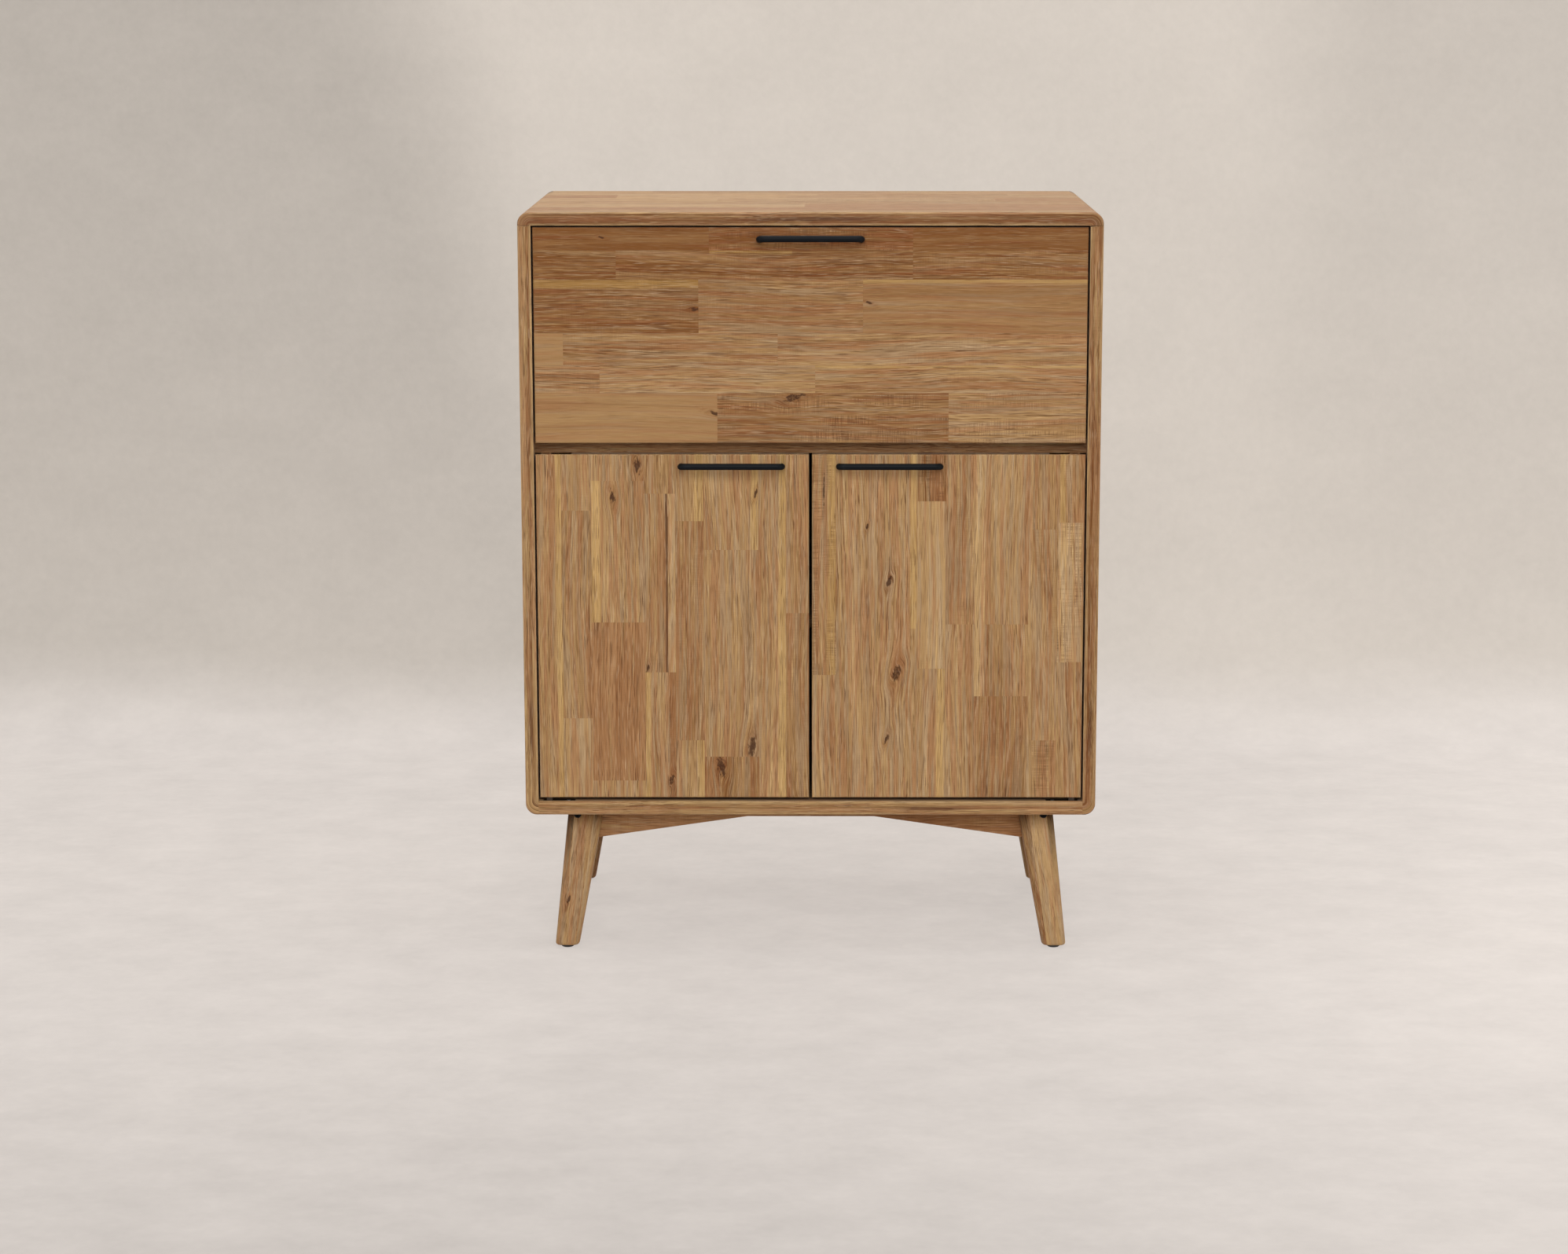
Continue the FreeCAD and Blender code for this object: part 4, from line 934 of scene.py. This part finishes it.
class CABINET_OT_pulls(bpy.types.Operator):
    """Bend the rods of the three pulls and coat them"""
    bl_idname = "cabinet.pulls"
    bl_label = "Pulls"

    def execute(self, context):
        coat = powder_coat("pull_coat")
        for node, body in (("flap_handle", "flap"), ("door_left_handle", "door_left"),
                           ("door_right_handle", "door_right")):
            low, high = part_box(node)
            shape = bmesh.new()
            self.rod(shape, low, high, context.scene.cabinet_fittings.rod)
            bmesh.ops.recalc_face_normals(shape, faces=shape.faces)
            finished(node + "_rod", shape, coat, body, "black_metal", node)
        return {"FINISHED"}

    def rod(self, shape, low, high, radius, bend=0.0078, dip=0.13, sides=20, steps=8):
        """A round rod with both ends bent back, and a little down, to the wood."""
        front = low.y + radius
        line = [(low.x + radius, high.y)]
        for corner, turn in ((low.x + radius + bend, math.pi), (high.x - radius - bend, math.pi / 2)):
            turns = [turn - i * math.pi / 2 / steps for i in range(steps + 1)]
            line += [(corner + bend * math.cos(a), front + bend - bend * math.sin(a)) for a in turns]
        line.append((high.x - radius, high.y))
        rings = []
        for i, (x, y) in enumerate(line):
            before, after = Vector(line[max(i - 1, 0)]), Vector(line[min(i + 1, len(line) - 1)])
            ahead = (after - before).normalized()
            level = (low.z + high.z) / 2 - (y - front) * dip
            rings.append([shape.verts.new((x - ahead.y * u, y + ahead.x * u, level + v))
                          for u, v in circle(radius, sides)])
        skin(shape, rings)
        shape.faces.new(rings[0])
        shape.faces.new(list(reversed(rings[-1])))


class CABINET_OT_fittings(bpy.types.Operator):
    """Plate the hinges, stays and pivots, and finish the catches; the pivots' bronze is painted light on the top
    ones and painted shade on the bottom ones
    """
    bl_idname = "cabinet.fittings"
    bl_label = "Hinges, stays, pivots and catches"

    def execute(self, context):
        lengthwise = plated_steel("plated_hinges", X)
        upright = plated_steel("plated_brackets", Z)
        deep = plated_steel("plated_stays", Y)
        # the top pivots' bronze is made light, near the wood's tone, so their recess in the door's top edge
        # shows less shade: painted light; the bottom pivots' far darker copy is painted shade
        brown = bronzed_steel("bronze_pivots_painted_light", (0.250, 0.135, 0.062))
        dark = bronzed_steel("bronze_pivots_painted_shade", (0.030, 0.017, 0.009))
        for hand in ("left", "right"):
            refinish(lengthwise, f"flap_hinge_{hand}_case_leaf", f"flap_hinge_{hand}_flap_leaf",
                     f"door_{hand}_strike")
            refinish(deep, f"stay_bar_{hand}")
            refinish(brown, f"door_{hand}_top_pivot", f"door_pivot_arm_{hand}")
            refinish(dark, f"door_{hand}_bottom_pivot", f"door_pivot_plate_{hand}")
        refinish(lengthwise, "flap_hinge_pins", "flap_strike")
        refinish(upright, "stay_brackets", "stay_studs")
        refinish(moulded("catch_plastic", context.scene.cabinet_fittings.catch), "magnetic_catches")
        return {"FINISHED"}


class CABINET_OT_screws(bpy.types.Operator):
    """Set the screw and bolt heads that hold the pulls, fittings, cleats, back and legs"""
    bl_idname = "cabinet.screws"
    bl_label = "Screws and bolts"

    def execute(self, context):
        fittings = context.scene.cabinet_fittings
        steel = plated_steel("plated_screws", X)
        black = powder_coat("black_bolts")
        head = fittings.head
        pull_screw, strike_screw, bolt = 0.0024, 0.0020, 0.0052
        up, down, inward = (0, 0, 1), (0, 0, -1), (0, 1, 0)
        case, flap, bolts = [], [], []
        for sign, hand in ((-1, "left"), (1, "right")):
            aside = (-sign, 0, 0)
            for offset in (-19.0, 0.0, 19.0):
                case.append(((sign * 269.5 + offset, -169.0, FLAP_FLOOR), up, head))
                flap.append(((sign * 269.5 + offset, LEAF_BACK, 761.5), inward, head))
            flap += [((sign * 366.0, -191.0, z), inward, head) for z in (897.0, 918.0)]
            case += [((sign * 380.0, -72.4, z), aside, head) for z in (845.7, 870.1)]
            case += [((sign * 366.5, y, 713.5), down, head) for y in (-176.0, -156.0)]
            case.append(((sign * 340.0, -203.5, FLOOR), up, head * 0.9))
            case += [((sign * 45.0 + x, -184.3, 704.5), down, head * 0.8) for x in (-16.0, 16.0)]
            case += [((sign * 368.0, y, 451.0), aside, head) for y in (-110.0, 46.0, 202.0)]
            case += [((sign * 386.5, BACK, z), inward, head)
                     for z in (262.0, 416.0, 570.0, 724.0, 878.0, 1005.0)]
            bolts += [((sign * 330.0, -172.4, 196.0), (0, -1, 0), bolt),
                      ((sign * 330.0, 200.4, 196.0), inward, bolt)]
            door = [((sign * x, LEAF_BACK, 703.02), inward, pull_screw) for x in (38.8, 179.2)]
            door += [((sign * 45.0 + x, -191.5, 710.5), inward, strike_screw) for x in (-12.0, 12.0)]
            door += [((sign * 342.0, -203.5, 713.4), up, head * 0.9),
                     ((sign * 342.0, -203.5, 230.0), down, head * 0.9)]
            screws(f"door_{hand}_screws", f"door_{hand}", "steel", steel, door, proud=0.07)
        flap += [((x, LEAF_BACK, 1015.5), inward, pull_screw) for x in (-70.2, 70.2)]
        flap += [((x, -191.5, 1024.5), inward, strike_screw) for x in (-12.0, 12.0)]
        case += [((x, -184.3, 1021.0), down, head * 0.8) for x in (-16.0, 16.0)]
        case += [((x, BACK, z), inward, head)
                 for z in (221.0, 1036.0) for x in (-290.0, -97.0, 97.0, 290.0)]
        screws("case_screws", "case", "steel", steel, case, proud=0.07)
        screws("flap_screws", "flap", "steel", steel, flap, proud=0.07)
        screws("leg_bolts", "case", "black_metal", black, bolts, recess="hexagon", proud=0.40)
        return {"FINISHED"}


class CABINET_OT_stage(bpy.types.Operator):
    """Build the plain stage: floor, backdrop, soft light and the photograph's camera"""
    bl_idname = "cabinet.stage"
    bl_label = "Stage"

    def execute(self, context):
        stage = context.scene.cabinet_stage
        reach, bend = 9.0, 0.34
        wall = stage.wall_distance
        material = plaster("stage_plaster")
        turns = [i * math.pi / 48 for i in range(25)]
        curve = [(wall - bend + bend * math.sin(turn), bend - bend * math.cos(turn)) for turn in turns]
        self.sheet("stage_backdrop", [(-reach, 0.0), *curve, (wall, 6.0)], reach, material)
        self.sheet("stage_ground", [(wall - bend, -0.002), (reach, -0.002)], reach, material)
        self.lamp("overhead", (0.0, 0.15, 3.3), (0.0, 0.05, 0.7), (2.8, 2.2), stage.overhead)
        self.lamp("key", (0.25, -6.8, 4.2), (0.0, 0.0, 0.5), (4.6, 3.6), stage.key)
        for side in (-1, 1):
            self.lamp("fill", (side * 4.9, -2.5, 1.85), (0.0, 0.0, 0.40), (2.8, 2.4), stage.fill)
        self.sky(context)
        self.camera(context)
        context.scene.view_settings.view_transform = "Standard"
        return {"FINISHED"}

    def sheet(self, name, profile, half, material):
        """A smooth sheet as wide as the stage, along a profile of depth and height."""
        shape = bmesh.new()
        pairs = [[shape.verts.new((side * half, y, z)) for side in (-1, 1)] for y, z in profile]
        for near, far in zip(pairs, pairs[1:]):
            shape.faces.new((near[0], near[1], far[1], far[0])).smooth = True
        mesh = bpy.data.meshes.new(name)
        shape.to_mesh(mesh)
        shape.free()
        mesh.materials.append(material)
        piece = bpy.data.objects.new(name, mesh)
        bpy.context.scene.collection.objects.link(piece)

    def lamp(self, name, spot, target, size, power):
        """A soft rectangular lamp that looks at a point."""
        data = bpy.data.lights.new(name, "AREA")
        data.shape = "RECTANGLE"
        data.size, data.size_y = size
        data.energy = power
        lamp = bpy.data.objects.new(name, data)
        lamp.location = spot
        lamp.rotation_euler = (Vector(target) - Vector(spot)).to_track_quat("-Z", "Y").to_euler()
        bpy.context.scene.collection.objects.link(lamp)

    def sky(self, context):
        """Even light from all round, and a pale field where the stage ends."""
        stage = context.scene.cabinet_stage
        f = Finish("studio", bpy.data.worlds.new("studio"))
        even = f.node("ShaderNodeBackground", {}, {"Color": (1.0, 0.985, 0.965), "Strength": stage.ambient})
        pale = f.node("ShaderNodeBackground", {}, {"Color": stage.wall, "Strength": 1.0})
        f.show(f.node("ShaderNodeMixShader", {}, {0: f.seen(), 1: even, 2: pale}), "World Output")
        context.scene.world = f.holder

    def camera(self, context):
        """The photograph's viewing angle."""
        stage = context.scene.cabinet_stage
        data = bpy.data.cameras.new("camera")
        data.sensor_width = 36.0
        data.lens = stage.lens
        data.shift_x, data.shift_y = stage.shift
        data.clip_end = 60.0
        camera = bpy.data.objects.new("camera", data)
        camera.location = stage.eye
        camera.rotation_euler = (math.pi / 2 - stage.tilt, 0.0, stage.pan)
        context.scene.collection.objects.link(camera)
        context.scene.camera = camera


class CABINET_PT_looks(bpy.types.Panel):
    """Settings and steps of the cabinet's looks"""
    bl_label = "Bar cabinet"
    bl_idname = "CABINET_PT_looks"
    bl_space_type = "VIEW_3D"
    bl_region_type = "UI"
    bl_category = "Cabinet"

    def draw(self, context):
        for name, group in GROUPS.items():
            column = self.layout.column()
            for setting in group.__annotations__:
                column.prop(getattr(context.scene, name), setting)
        for step in STEPS:
            self.layout.operator(step.bl_idname)


STEPS = (CABINET_OT_fronts, CABINET_OT_case, CABINET_OT_stand, CABINET_OT_pulls, CABINET_OT_fittings,
         CABINET_OT_screws, CABINET_OT_stage)
GROUPS = {"cabinet_acacia": CabinetAcacia, "cabinet_fittings": CabinetFittings, "cabinet_stage": CabinetStage}
CLASSES = (*GROUPS.values(), *STEPS, CABINET_PT_looks)


def register():
    """Make the settings, steps and panel known to Blender."""
    for cls in CLASSES:
        bpy.utils.register_class(cls)
    for name, group in GROUPS.items():
        setattr(bpy.types.Scene, name, PointerProperty(type=group))


def unregister():
    """Take them out again."""
    for name in GROUPS:
        delattr(bpy.types.Scene, name)
    for cls in reversed(CLASSES):
        bpy.utils.unregister_class(cls)


def main():
    """Run every step."""
    register()
    bpy.ops.cabinet.fronts()
    bpy.ops.cabinet.case()
    bpy.ops.cabinet.stand()
    bpy.ops.cabinet.pulls()
    bpy.ops.cabinet.fittings()
    bpy.ops.cabinet.screws()
    bpy.ops.cabinet.stage()


if __name__ == "__main__":
    main()
